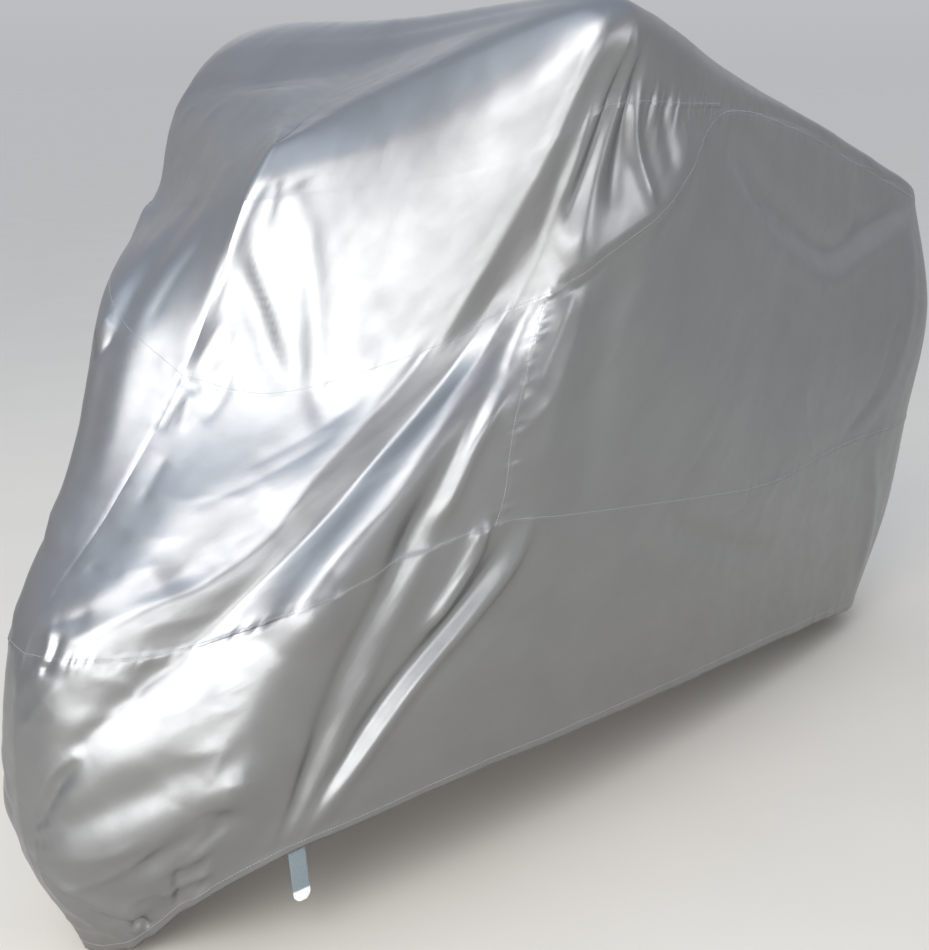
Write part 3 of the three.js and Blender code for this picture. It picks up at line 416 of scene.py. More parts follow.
# The sewn pieces: their shape, their sides and the cut that each is sewn from, as the width and length of the
# cloth it takes, in metres, and the area of the cut
PIECES = {
    "top_panel": dict(shape="top_panel", sides=("left", "right"), flat=(1.0, 2.0), area=1.26),
    "upper_front_left": dict(shape="upper_front", sides=("left",), flat=(0.4, 0.8), area=0.185),
    "upper_front_right": dict(shape="upper_front", sides=("right",), flat=(0.4, 0.8), area=0.135),
    "front_left": dict(shape="front", sides=("left",), flat=(0.45, 0.75), area=0.205),
    "front_right": dict(shape="front", sides=("right",), flat=(0.45, 0.75), area=0.25),
    "side_left": dict(shape="side", sides=("left",), flat=(0.72, 1.8), area=0.93),
    "side_right": dict(shape="side", sides=("right",), flat=(0.72, 1.8), area=0.95),
    "skirt_left": dict(shape="skirt", sides=("left",), flat=(0.55, 2.3), area=1.03),
    "skirt_right": dict(shape="skirt", sides=("right",), flat=(0.55, 2.3), area=1.04),
}

# The webbing strap: its size, the part tucked behind the hem, its clearance there, the section that it hangs
# at, how far it leans back, its tapered tip, how finely it is cut, its ribs, how far round it the hem's
# creases are calm, its sealed end, its thinner edges, and the step in u and v that measures its place
STRAP_WIDTH = 24 * MM
STRAP_THICK = 1.8 * MM
STRAP_TUCKED = 16 * MM
STRAP_HANGING = 86 * MM
STRAP_DEPTH = 2.8 * MM
STRAP_SECTION = 5.05
STRAP_LEAN = 9 * MM
STRAP_TIP = 12 * MM
STRAP_TIP_SHARE = 0.45
STRAP_ROWS = 102
STRAP_COLUMNS = 24
STRAP_RIB = 0.16 * MM
STRAP_RIB_PITCH = 2.0 * MM
STRAP_CALM = 26 * MM
STRAP_SEALED = 20 * MM
STRAP_SEALED_FADE = 4 * MM
STRAP_EDGE_POWER = 8
STRAP_EDGE_SHARE = 0.4
PROBE = 0.1

# Finishes. A mottle wanders between two tints or values, and a bump between two heights, with a noise texture
# of a scale and a detail, whose values mostly lie from NOISE_LOW to NOISE_HIGH. A wave texture of the scale
# WAVE_TURN has one wave to the metre.
Mottle = namedtuple("Mottle", "scale detail low high")
Bump = namedtuple("Bump", "scale detail depth strength")
NOISE_LOW = 0.3
NOISE_HIGH = 0.7
WAVE_TURN = 0.314
CLOTH_TINT = Mottle(9, 4, (0.27, 0.272, 0.276), (0.29, 0.292, 0.296))
CLOTH_ROUGH = Mottle(26, 3, 0.32, 0.4)
CLOTH_METAL = 0.92
CLOTH_CRINKLES = Bump(45, 4, 0.4 * MM, 0.35)
CLOTH_GRAIN = Bump(170, 3, 0.15 * MM, 0.4)
WEAVE_PITCH = 1.1 * MM
WEAVE_DEPTH = 0.05 * MM
WEAVE_STRENGTH = 0.3
THREAD_TINT = Mottle(400, 2, (0.3, 0.305, 0.31), (0.42, 0.425, 0.43))
THREAD_ROUGH = Mottle(900, 2, 0.55, 0.8)
THREAD_TWIST = Bump(1500, 2, 0.1 * MM, 0.4)
YARN_TINT = Mottle(500, 3, (0.13, 0.165, 0.185), (0.2, 0.24, 0.26))
SEALED_TINT = Mottle(300, 3, (0.6, 0.64, 0.64), (0.8, 0.82, 0.82))
WEBBING_ROUGH = Mottle(700, 2, 0.65, 0.85)
WEBBING_DEPTH = 0.2 * MM
WEBBING_STRENGTH = 0.5
FLOOR_TINT = Mottle(3, 5, (0.74, 0.69, 0.61), (0.76, 0.71, 0.63))
FLOOR_ROUGH = 0.9

# The photograph's camera: focal length in its pixels, place, heading and downward tilt
PHOTO_WIDTH = 929
PHOTO_HEIGHT = 950
FOCAL_PIXELS = 1450
CAMERA_PLACE = (-1.95, -1.66, 1.22)
CAMERA_YAW = math.radians(44.6)
CAMERA_PITCH = math.radians(15.9)
SENSOR = 36

# The stage: half the floor's side, its gap under the cover, the angle that each light keeps to, and the sky's
# colour by height, from 0 at the horizon to 1 overhead
FLOOR_SIZE = 60
FLOOR_GAP = 2 * MM
LIGHT_SPREAD = math.radians(90)
SKY = [(0, (0.481, 0.49, 0.504)), (0.25, (0.65, 0.66, 0.68)), (0.9, (0.62, 0.7, 0.85))]

# Soft rectangular lights. The azimuth is from -X towards -Y. Both angles are in degrees, as seen from the
# target.
Light = namedtuple("Light", "azimuth elevation distance target size radiance colour")
LIGHTS = {
    "key": Light(20, 30, 5, (-0.6, -0.15, 0.8), (3.2, 5.3), 6.4, (1.0, 0.995, 0.985)),
    "low_fill": Light(52, 4, 4, (-0.9, -0.15, 0.35), (4.0, 1.2), 6.0, (1.0, 0.995, 0.985)),
    "side_fill": Light(114, 2, 4, (-0.45, -0.35, 0.85), (2.4, 1.3), 3.0, (0.97, 0.99, 1.0)),
    "back_fill": Light(-118, 30, 5, (0.2, 0.1, 0.7), (2.6, 2.2), 0.6, (1.0, 1.0, 1.0)),
    "sky_fill": Light(-22, 60, 5, (-0.5, -0.2, 0.8), (2.6, 2.4), 1.3, (0.7, 0.85, 1.0)),
}


def mirrored(section):
    return Section(section.round, *[(x, -y, z) for x, y, z in section[1:]])


def curve_through(points, t):
    """A centripetal Catmull-Rom curve through points along axis -2, at each t counted in points."""
    before = 2 * points[..., :1, :] - points[..., 1:2, :]
    after = 2 * points[..., -1:, :] - points[..., -2:-1, :]
    padded = np.concatenate([before, points, after], axis=-2)
    index = np.clip(np.floor(t).astype(int), 0, points.shape[-2] - 2)
    p0, p1, p2, p3 = (padded[..., index + k, :] for k in range(4))
    share = (t - index)[:, None]

    def knot_step(a, b):
        return np.sqrt(np.maximum(np.linalg.norm(a - b, axis=-1, keepdims=True), TINY))

    d0 = knot_step(p0, p1)
    d1 = knot_step(p1, p2)
    d2 = knot_step(p2, p3)
    start = ((p1 - p0) / d0 - (p2 - p0) / (d0 + d1) + (p2 - p1) / d1) * d1
    end = ((p2 - p1) / d1 - (p3 - p1) / (d1 + d2) + (p3 - p2) / d2) * d1
    square = -3 * p1 + 3 * p2 - 2 * start - end
    cube = 2 * p1 - 2 * p2 + start + end
    return p1 + start * share + square * share**2 + cube * share**3


def make_side(name, sections, outward):
    """The line of each level along the sections, which runs on past the rear so that it is round there."""
    rows = list(sections.values())
    rows_and_past = rows + [mirrored(rows[-2])]
    lines = {level: MM * np.array([getattr(each, level) for each in rows_and_past], float) for level in LINES}
    rounds = MM * np.array([each.round for each in rows], float)
    return {"name": name, "lines": lines, "rounds": rounds, "outward": outward}


def towards(start, end, distance):
    step = end - start
    length = np.linalg.norm(step, axis=-1, keepdims=True)
    return start + step * np.minimum(distance / length, ROUND_SHARE)


def ribs_at(side, u):
    """The points of each level from hem to spine, for every u."""
    at = {level: curve_through(line, u) for level, line in side["lines"].items()}
    rounds = np.interp(u, np.arange(REAR + 1), side["rounds"])[:, None]
    at["shoulder"] = towards(at["ridge"], at["yoke"], rounds)
    at["brow"] = towards(at["ridge"], at["spine"], rounds)
    return np.stack([at[level] for level in LEVELS], axis=1)


def surface(side, u, v):
    """The cloth without its folds at every pair of u and v: an array of points by u and v."""
    return curve_through(ribs_at(side, np.asarray(u, float)), np.asarray(v, float))


def outward_directions(points, outward):
    normals = np.cross(np.gradient(points, axis=0), np.gradient(points, axis=1)) * outward
    return normals / np.linalg.norm(normals, axis=-1, keepdims=True)


def laid_path(side, path):
    """A path of (u, v) points as a chain of points on the cloth."""
    corners = np.array([(u, v, 0) for u, v in path], float)
    steps = np.linspace(0, len(path) - 1, FOLD_POINTS * (len(path) - 1) + 1)
    chain = curve_through(corners, steps)
    crossings = surface(side, chain[:, 0], chain[:, 1])
    return np.einsum("iij->ij", crossings)


def nearest_on_chain(chain, points):
    """Each point's distance to a chain, and how far along the chain its nearest place is, from 0 to 1."""
    distance = np.full(len(points), np.inf)
    along = np.zeros(len(points))
    for index in range(len(chain) - 1):
        step = chain[index + 1] - chain[index]
        offset = points - chain[index]
        share = np.clip(offset @ step / (step @ step), 0, 1)
        here = np.linalg.norm(offset - share[:, None] * step, axis=1)
        nearer = here < distance
        distance[nearer] = here[nearer]
        along[nearer] = (index + share[nearer]) / (len(chain) - 1)
    return distance, along


def smoothstep(value, low, high):
    share = np.clip((value - low) / (high - low), 0, 1)
    return share * share * (3 - 2 * share)


def soft_shape(distance, width):
    return np.exp(-((distance / width) ** 2))


def sharp_shape(distance, width):
    return np.exp((CREASE_ROUND - np.sqrt(distance**2 + CREASE_ROUND**2)) / width)


def fold_rise(points, laid_folds, shape, reach):
    """How far the folds move each point out."""
    rise = np.zeros(points.shape[:-1])
    for fold, chain in laid_folds:
        width = fold.width * MM
        margin = reach * width
        near = np.all((points > chain.min(0) - margin) & (points < chain.max(0) + margin), axis=-1)
        distance, along = nearest_on_chain(chain, points[near])
        fade = smoothstep(np.minimum(along, 1 - along), -FOLD_FADE / 2, FOLD_FADE)
        rise[near] += fold.rise * MM * fade * shape(distance, width)
    return rise


def laid(left, right):
    """The folds of both sides, each with its chain of points on the cloth."""
    on_left = [(fold, laid_path(SIDES["left"], fold.path)) for fold in left]
    on_right = [(fold, laid_path(SIDES["right"], fold.path)) for fold in right]
    return on_left + on_right


def grid_values(lengths, cell):
    """Values of u or v at each step of the grid, with about one step to a cell's length."""
    values = [0.0]
    for index, length in enumerate(lengths):
        count = max(2, round(length / cell))
        values += [index + step / count for step in range(1, count + 1)]
    return np.array(values)


def mean_steps(points, axis):
    """The mean distance from each point to the next along an axis of a grid of points."""
    return np.linalg.norm(np.diff(points, axis=axis), axis=-1).mean(axis=1 - axis)


def run_lengths(points, axis):
    """The length run along an axis of a grid of points, from its first point to each."""
    steps = np.linalg.norm(np.diff(points, axis=axis), axis=-1)
    pad = [(0, 0), (0, 0)]
    pad[axis] = (1, 0)
    return np.pad(np.cumsum(steps, axis=axis), pad)


right_sections = {at: RIGHT_SECTIONS.get(at, mirrored(section)) for at, section in LEFT_SECTIONS.items()}
SIDES = {"left": make_side("left", LEFT_SECTIONS, 1), "right": make_side("right", right_sections, -1)}
LAID_FOLDS = laid(LEFT_FOLDS, RIGHT_FOLDS)
LAID_CREASES = laid(LEFT_CREASES, RIGHT_CREASES)
corner_points = surface(SIDES["left"], np.arange(REAR + 1), np.arange(len(LEVELS)))
GRID_U = grid_values(mean_steps(corner_points, 0), CELL_ALONG)
GRID_V = grid_values(mean_steps(corner_points, 1), CELL_UP)

# The front and rear centre lines and the spine, which the two sides share, as places in the grid
ALL = slice(None)
SHARED_LINES = ((0, ALL), (-1, ALL), (ALL, -1))


def column(u):
    return int(np.argmin(np.abs(GRID_U - u)))


def row(level):
    return int(np.argmin(np.abs(GRID_V - LEVEL[level])))


def main_rise(points):
    return fold_rise(points, LAID_FOLDS, soft_shape, FOLD_REACH)


def wave_noise(lengths, pitch, seed):
    """An uneven wave along a line, between -1 and 1, about pitch from one crest to the next."""
    places = np.asarray(lengths) / (pitch / 2)
    heights = np.random.default_rng(seed).uniform(-1, 1, int(places.max()) + 3)
    index = np.floor(places).astype(int)
    share = smoothstep(places - index, 0, 1)
    return heights[index] * (1 - share) + heights[index + 1] * share


def ripple_noise(along, up, pitches, seed):
    """Uneven ripples over the cloth, between -1 and 1, at a row's pitches along and up."""
    x = along / (pitches["along"] * MM)
    y = up / (pitches["up"] * MM)
    heights = np.random.default_rng(seed).uniform(-1, 1, (int(x.max()) + 3, int(y.max()) + 3))
    i = np.floor(x).astype(int)
    j = np.floor(y).astype(int)
    a = smoothstep(x - i, 0, 1)
    b = smoothstep(y - j, 0, 1)
    low = heights[i, j] * (1 - a) + heights[i + 1, j] * a
    high = heights[i, j + 1] * (1 - a) + heights[i + 1, j + 1] * a
    return low * (1 - b) + high * b


def between(values, first, last, fade):
    """1 from first to last, going to 0 over fade outside them."""
    return smoothstep(values, first - fade, first) * (1 - smoothstep(values, last, last + fade))


def level_puckers(side):
    rise = np.zeros(side["up"].shape)
    seed = SEEDS["level puckers"][side["name"]]
    uneven_seed = SEEDS["uneven puckers"][side["name"]]
    for number, pucker in enumerate(LEVEL_PUCKERS):
        seam = row(pucker["at"])
        lengths = side["along"][:, seam]
        wave = wave_noise(lengths, pucker["pitch"] * MM, seed + number)
        uneven = 1 - UNEVEN_SHARE + UNEVEN_SHARE * wave_noise(lengths, UNEVEN_PITCH, uneven_seed + number)
        share = between(GRID_U, pucker["first"], pucker["last"], PUCKER_FADE)
        height = pucker["rise"] * MM * wave * uneven * share
        distance = side["up"] - side["up"][:, seam:seam + 1]
        rise += height[:, None] * soft_shape(distance, pucker["reach"] * MM)
    return rise


def section_puckers(side):
    rise = np.zeros(side["up"].shape)
    seed = SEEDS["section puckers"][side["name"]]
    for number, pucker in enumerate(SECTION_PUCKERS):
        seam = column(pucker["at"])
        lengths = side["up"][seam]
        wave = wave_noise(lengths, pucker["pitch"] * MM, seed + number)
        share = between(GRID_V, LEVEL[pucker["low"]], LEVEL[pucker["high"]], PUCKER_FADE_UP)
        distance = side["along"] - side["along"][seam]
        rise += pucker["rise"] * MM * wave * share * soft_shape(distance, pucker["reach"] * MM)
    return rise


def centre_grooves(side):
    """The plain seams down the front and rear centre lines."""
    front = soft_shape(side["along"], GROOVE_WIDTH) * (GRID_V <= LEVEL["yoke"])
    rear = soft_shape(side["along"][-1] - side["along"], GROOVE_WIDTH) * (GRID_V <= LEVEL["breast"])
    return -GROOVE_DEPTH * (front + rear)


def spine_slope(side):
    """How steeply the cloth of one side falls to the spine, for every u."""
    drop = side["flat_points"][:, row("brow")] - side["flat_points"][:, -1]
    return drop[:, 2] / np.linalg.norm(drop, axis=1)


def spine_rise(side):
    """Lifts the cloth along the spine, so that the hollow of the top is round there."""
    slope = np.maximum(np.mean([spine_slope(each) for each in SIDES.values()], axis=0), 0)
    distance = side["up"][:, -1:] - side["up"]
    return slope[:, None] * (np.sqrt(distance**2 + SPINE_ROUND**2) - distance) * (GRID_V > LEVEL["yoke"])


def ripples(side):
    rise = np.zeros(side["up"].shape)
    seed = SEEDS["ripples"][side["name"]]
    for number, ripple in enumerate(RIPPLES):
        waves = ripple_noise(side["along"], side["up"], ripple, seed + number)
        rise += ripple["rise"] * MM * waves
    return rise


def crumples(side):
    rise = np.zeros(side["up"].shape)
    seed = SEEDS["crumples"][side["name"]]
    for number, crumple in enumerate(CRUMPLES):
        leaning = side["along"] + crumple["lean"] * side["up"]
        waves = ripple_noise(leaning, side["up"], crumple, seed + number)
        across = between(GRID_U, crumple["first"], crumple["last"], CRUMPLE_FADE)
        upward = between(GRID_V, crumple["low"], crumple["high"], CRUMPLE_FADE)
        rise += crumple["rise"] * MM * np.outer(across, upward) * (CRUMPLE_MEAN - np.abs(waves))
    return rise


def share_lines(key):
    """Gives the two sides the mean of their values on the lines that they share."""
    left = SIDES["left"][key]
    right = SIDES["right"][key]
    for line in SHARED_LINES:
        mean = (left[line] + right[line]) / 2
        if key == "normals":
            mean = mean / np.linalg.norm(mean, axis=-1, keepdims=True)
        left[line] = mean
        right[line] = mean


def move_out():
    """Moves the points of both sides out by their rise, and works out their new outward directions."""
    share_lines("rise")
    for side in SIDES.values():
        side["points"] = side["points"] + side["normals"] * side["rise"][..., None]
        side["normals"] = outward_directions(side["points"], side["outward"])
    share_lines("normals")


def calm_at_strap(side):
    """The strap's sewn end holds the fine creases of the hem flat around it."""
    root = surface(SIDES["left"], [STRAP_SECTION], [LEVEL["hem"]])[0, 0]
    distance = np.linalg.norm(side["flat_points"] - root, axis=-1)
    return 1 - soft_shape(distance, STRAP_CALM)


def shape_cloth():
    """Lays both sides' cloth: the plain surface, then the main folds, then all that is finer."""
    for side in SIDES.values():
        side["points"] = surface(side, GRID_U, GRID_V)
        side["flat_points"] = side["points"]
        side["normals"] = outward_directions(side["points"], side["outward"])
        side["along"] = run_lengths(side["points"], 0)
        side["up"] = run_lengths(side["points"], 1)
        side["rise"] = main_rise(side["points"])
        creases = fold_rise(side["points"], LAID_CREASES, sharp_shape, CREASE_REACH)
        side["fine"] = creases + centre_grooves(side)
    share_lines("normals")
    move_out()
    for side in SIDES.values():
        side["rise"] = side["fine"] + ripples(side) + crumples(side)
        side["rise"] += level_puckers(side) + section_puckers(side)
        side["rise"] += spine_rise(side)
        side["rise"] *= calm_at_strap(side)
    move_out()


shape_cloth()


def add_mesh(name, points, quads, corner_uvs, material):
    mesh = bpy.data.meshes.new(name)
    mesh.vertices.add(len(points))
    mesh.vertices.foreach_set("co", np.asarray(points, np.float32).ravel())
    mesh.loops.add(quads.size)
    mesh.loops.foreach_set("vertex_index", quads.ravel().astype(np.int32))
    mesh.polygons.add(len(quads))
    mesh.polygons.foreach_set("loop_start", np.arange(0, quads.size, quads.shape[1], dtype=np.int32))
    mesh.polygons.foreach_set("use_smooth", np.ones(len(quads), bool))
    if corner_uvs is not None:
        layer = mesh.uv_layers.new(name="cloth")
        layer.data.foreach_set("uv", np.asarray(corner_uvs, np.float32).ravel())
    mesh.update(calc_edges=True)
    mesh.validate()
    mesh.materials.append(material)
    piece = bpy.data.objects.new(name, mesh)
    bpy.context.scene.collection.objects.link(piece)
    return piece


def link(tree, output, socket):
    tree.links.new(output, socket)


def principled(name):
    material = bpy.data.materials.new(name)
    material.use_nodes = True
    return material, material.node_tree, material.node_tree.nodes["Principled BSDF"]


def add_node(tree, kind, **values):
    """A shader node with the given settings. A setting that names one of its inputs sets that input."""
    node = tree.nodes.new("ShaderNode" + kind)
    for name, value in values.items():
        if name in node.inputs:
            node.inputs[name].default_value = value
        else:
            setattr(node, name, value)
    return node


def noise(tree, place, texture):
    """The noise of a mottle or a bump."""
    node = add_node(tree, "TexNoise", Scale=texture.scale, Detail=texture.detail)
    link(tree, place, node.inputs["Vector"])
    return node.outputs["Fac"]


def mottled(tree, place, mottle):
    """Values that wander from low to high."""
    node = tree.nodes.new("ShaderNodeMapRange")
    node.inputs["From Min"].default_value = NOISE_LOW
    node.inputs["From Max"].default_value = NOISE_HIGH
    node.inputs["To Min"].default_value = mottle.low
    node.inputs["To Max"].default_value = mottle.high
    link(tree, noise(tree, place, mottle), node.inputs["Value"])
    return node.outputs["Result"]


def tinted(tree, place, mottle):
    """Colours that wander from low to high."""
    ramp = tree.nodes.new("ShaderNodeValToRGB")
    ramp.color_ramp.elements[0].position = NOISE_LOW
    ramp.color_ramp.elements[0].color = (*mottle.low, 1)
    ramp.color_ramp.elements[1].position = NOISE_HIGH
    ramp.color_ramp.elements[1].color = (*mottle.high, 1)
    link(tree, noise(tree, place, mottle), ramp.inputs["Fac"])
    return ramp.outputs["Color"]


def bumped(tree, height, depth, strength, below):
    """A height of 0 to 1 as a bump, on top of the bump below it if there is one."""
    node = add_node(tree, "Bump", Strength=strength, Distance=depth)
    link(tree, height, node.inputs["Height"])
    if below is not None:
        link(tree, below, node.inputs["Normal"])
    return node.outputs["Normal"]


def noise_bump(tree, place, bump, below):
    return bumped(tree, noise(tree, place, bump), bump.depth, bump.strength, below)


def weave(tree, place, pitch):
    """Threads that cross each other at a pitch, as a height from 0 to 1."""
    heights = []
    for direction in ("X", "Y"):
        wave = add_node(tree, "TexWave", bands_direction=direction, Scale=WAVE_TURN / pitch)
        link(tree, place, wave.inputs["Vector"])
        heights.append(wave.outputs["Fac"])
    product = tree.nodes.new("ShaderNodeMath")
    product.operation = "MULTIPLY"
    link(tree, heights[0], product.inputs[0])
    link(tree, heights[1], product.inputs[1])
    return product.outputs["Value"]


def cloth_material():
    """Silver-coated woven cloth: a satin metal coat with faint crinkles, over a fine weave."""
    material, tree, shader = principled("silver_cloth")
    place = add_node(tree, "UVMap", uv_map="cloth").outputs["UV"]
    shader.inputs["Metallic"].default_value = CLOTH_METAL
    link(tree, tinted(tree, place, CLOTH_TINT), shader.inputs["Base Color"])
    link(tree, mottled(tree, place, CLOTH_ROUGH), shader.inputs["Roughness"])
    crinkles = noise_bump(tree, place, CLOTH_CRINKLES, None)
    grain = noise_bump(tree, place, CLOTH_GRAIN, crinkles)
    threads = bumped(tree, weave(tree, place, WEAVE_PITCH), WEAVE_DEPTH, WEAVE_STRENGTH, grain)
    link(tree, threads, shader.inputs["Normal"])
    return material


def thread_material():
    """Twisted polyester thread."""
    material, tree, shader = principled("thread")
    place = add_node(tree, "TexCoord").outputs["Object"]
    link(tree, tinted(tree, place, THREAD_TINT), shader.inputs["Base Color"])
    link(tree, mottled(tree, place, THREAD_ROUGH), shader.inputs["Roughness"])
    link(tree, noise_bump(tree, place, THREAD_TWIST, None), shader.inputs["Normal"])
    return material


def webbing_material():
    """Grey-blue woven webbing with a pale sealed end."""
    material, tree, shader = principled("webbing")
    place = add_node(tree, "UVMap", uv_map="cloth").outputs["UV"]
    split = tree.nodes.new("ShaderNodeSeparateXYZ")
    link(tree, place, split.inputs["Vector"])
    sealed = tree.nodes.new("ShaderNodeMapRange")
    sealed.interpolation_type = "SMOOTHSTEP"
    sealed_from = STRAP_TUCKED + STRAP_HANGING - STRAP_SEALED
    sealed.inputs["From Min"].default_value = sealed_from
    sealed.inputs["From Max"].default_value = sealed_from + STRAP_SEALED_FADE
    link(tree, split.outputs["Y"], sealed.inputs["Value"])
    mix = add_node(tree, "Mix", data_type="RGBA")
    link(tree, sealed.outputs["Result"], mix.inputs["Factor"])
    link(tree, tinted(tree, place, YARN_TINT), mix.inputs["A"])
    link(tree, tinted(tree, place, SEALED_TINT), mix.inputs["B"])
    link(tree, mix.outputs["Result"], shader.inputs["Base Color"])
    link(tree, mottled(tree, place, WEBBING_ROUGH), shader.inputs["Roughness"])
    ribs = weave(tree, place, STRAP_RIB_PITCH / 2)
    link(tree, bumped(tree, ribs, WEBBING_DEPTH, WEBBING_STRENGTH, None), shader.inputs["Normal"])
    return material


CLOTH = cloth_material()
THREAD = thread_material()
WEBBING = webbing_material()


def edge_lift(distance):
    """How far the upper piece of a seam stands out at a distance from its edge."""
    return SEAM_LIFT * (1 - smoothstep(distance, 0, SEAM_WELT)) * (distance >= 0)


def lapped_share(level):
    """How far the seam along a level is lapped at each u, from 0 to 1."""
    share = np.ones(len(GRID_U))
    for flush_level, first, last in FLUSH:
        if flush_level == level:
            share -= (1 - FLUSH_LAP) * between(GRID_U, first, last, FLUSH_FADE)
    return share


def cells_of(shape):
    """Marks the grid's cells that a piece takes, with its laps under the next pieces."""
    cells = np.zeros((len(GRID_U) - 1, len(GRID_V) - 1), bool)
    for first, last, low, high in shape["patches"]:
        cells[column(first):column(last), row(low):row(high)] = True
    for level, first, last in shape["under"]:
        seam = row(level)
        cells[column(first):column(last), seam:seam + LAP_CELLS] = True
    if shape["side_edge"] < 0:
        seam = column(SIDE_SEAM)
        cells[seam - LAP_CELLS:seam, row("waist"):row("breast")] = True
    return cells


def offset_of(side, shape):
    """How far a piece's points lie out from the cloth's surface, or in where it is lapped under another."""
    offset = np.zeros((len(GRID_U), len(GRID_V)))
    for level, first, last in shape["over"]:
        seam = row(level)
        columns = slice(column(first), column(last) + 1)
        distance = side["up"][columns] - side["up"][columns, seam:seam + 1]
        lift = edge_lift(distance) * lapped_share(level)[columns, None]
        offset[columns] = np.maximum(offset[columns], lift)
    if shape["side_edge"] > 0:
        distance = side["along"][column(SIDE_SEAM)] - side["along"]
        offset = np.maximum(offset, edge_lift(distance))
    sinks = LAP_SINK * np.arange(LAP_CELLS + 1) / LAP_CELLS
    for level, first, last in shape["under"]:
        seam = row(level)
        offset[column(first):column(last) + 1, seam:seam + LAP_CELLS + 1] = -sinks
    if shape["side_edge"] < 0:
        seam = column(SIDE_SEAM)
        rows = slice(row("waist"), row("breast"))
        offset[seam - LAP_CELLS:seam + 1, rows] -= sinks[::-1, None]
    return offset


def cell_quads(cells, outward):
    """The corners of the marked cells as numbers in the grid, in the order that faces out."""
    i, j = np.nonzero(cells)
    number = i * len(GRID_V) + j
    quads = np.stack([number, number + len(GRID_V), number + len(GRID_V) + 1, number + 1], axis=1)
    return quads if outward > 0 else quads[:, ::-1]


def shared_numbers():
    """For the right side, the number of each grid point in the two sides' joint list."""
    count = len(GRID_U) * len(GRID_V)
    numbers = count + np.arange(count).reshape(len(GRID_U), len(GRID_V))
    own = np.arange(count).reshape(len(GRID_U), len(GRID_V))
    for line in SHARED_LINES:
        numbers[line] = own[line]
    return numbers.ravel()


def cloth_lengths(side, rows):
    """The lengths along and up the cloth to each point in the lowest rows of the grid."""
    return np.stack([side["along"][:, :rows], side["up"][:, :rows]], -1).reshape(-1, 2)


def hem_band(side):
    """The turned-in band behind the hem: its points, its quads in the grid's numbers with the band's points
    after the grid's, and the points' lengths along and up the cloth."""
    rows = int(round(HEM_BAND / CELL_UP)) + 1
    inner = side["points"][:, :rows] - side["normals"][:, :rows] * HEM_THICK
    count = len(GRID_U) * len(GRID_V)
    numbers = count + np.arange(len(GRID_U) * rows).reshape(len(GRID_U), rows)
    edge = np.arange(len(GRID_U)) * len(GRID_V)
    strip = np.concatenate([edge[:, None], numbers], axis=1)
    corners = [strip[:-1, :-1], strip[:-1, 1:], strip[1:, 1:], strip[1:, :-1]]
    quads = np.stack(corners, axis=-1).reshape(-1, 4)
    if side["outward"] < 0:
        quads = quads[:, ::-1]
    return inner.reshape(-1, 3), quads, cloth_lengths(side, rows)


def cut_side(side, shape):
    """One side of a piece: the grid's points moved to it, its quads in their numbers, and the lengths along
    and up the cloth to the quads' corners."""
    offset = offset_of(side, shape)
    quads = cell_quads(cells_of(shape), side["outward"])
    lengths = cloth_lengths(side, len(GRID_V))
    if shape is not SHAPES["skirt"]:
        points = side["points"] + side["normals"] * offset[..., None]
        return points.reshape(-1, 3), quads, lengths[quads]
    offset += HEM_LIFT * (1 - smoothstep(side["up"], HEM_BAND - CELL_UP, HEM_BAND + CELL_UP))
    points = (side["points"] + side["normals"] * offset[..., None]).reshape(-1, 3)
    band, band_quads, band_lengths = hem_band(side)
    quads = np.concatenate([quads, band_quads])
    lengths = np.concatenate([lengths, band_lengths])
    return np.concatenate([points, band]), quads, lengths[quads]


def cut_piece(name, spec):
    parts = [cut_side(SIDES[side_name], SHAPES[spec["shape"]]) for side_name in spec["sides"]]
    points = np.concatenate([side_points for side_points, _, _ in parts])
    quads = [side_quads for _, side_quads, _ in parts]
    lengths = np.concatenate([side_lengths for _, _, side_lengths in parts])
    if len(parts) == 2:
        quads[1] = shared_numbers()[quads[1]]
    used, inverse = np.unique(np.concatenate(quads), return_inverse=True)
    piece = add_mesh(name + "_cloth", points[used], inverse.reshape(-1, 4), lengths, CLOTH)
    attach(piece, "root")
    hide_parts(name)


for piece_name, piece_spec in PIECES.items():
    cut_piece(piece_name, piece_spec)


def stitch_mesh(centres, tangents, normals):
    """Stitches as small pointed bars, each with four long sides: points and triangles."""
    across = np.cross(normals, tangents)
    half = STITCH_LENGTH / 2
    ends = [(-half, 0, 0), (half, 0, 0)]
    ring = [(0, STITCH_HEIGHT), (STITCH_WIDTH / 2, 0), (0, -STITCH_HEIGHT), (-STITCH_WIDTH / 2, 0)]
    template = np.array(ends + [(x, y, z) for x in (-half / 2, half / 2) for y, z in ring])
    points = centres[:, None] + template[:, :1] * tangents[:, None]
    points = points + template[:, 1:2] * across[:, None] + template[:, 2:] * normals[:, None]
    triangles = []
    for k in range(len(ring)):
        near = len(ends) + k
        near_next = len(ends) + (k + 1) % len(ring)
        far = near + len(ring)
        far_next = near_next + len(ring)
        triangles += [(0, near, near_next), (1, far_next, far)]
        triangles += [(near, far, far_next), (near, far_next, near_next)]
    starts = len(template) * np.arange(len(centres))
    return points.reshape(-1, 3), (starts[:, None, None] + np.array(triangles)).reshape(-1, 3)


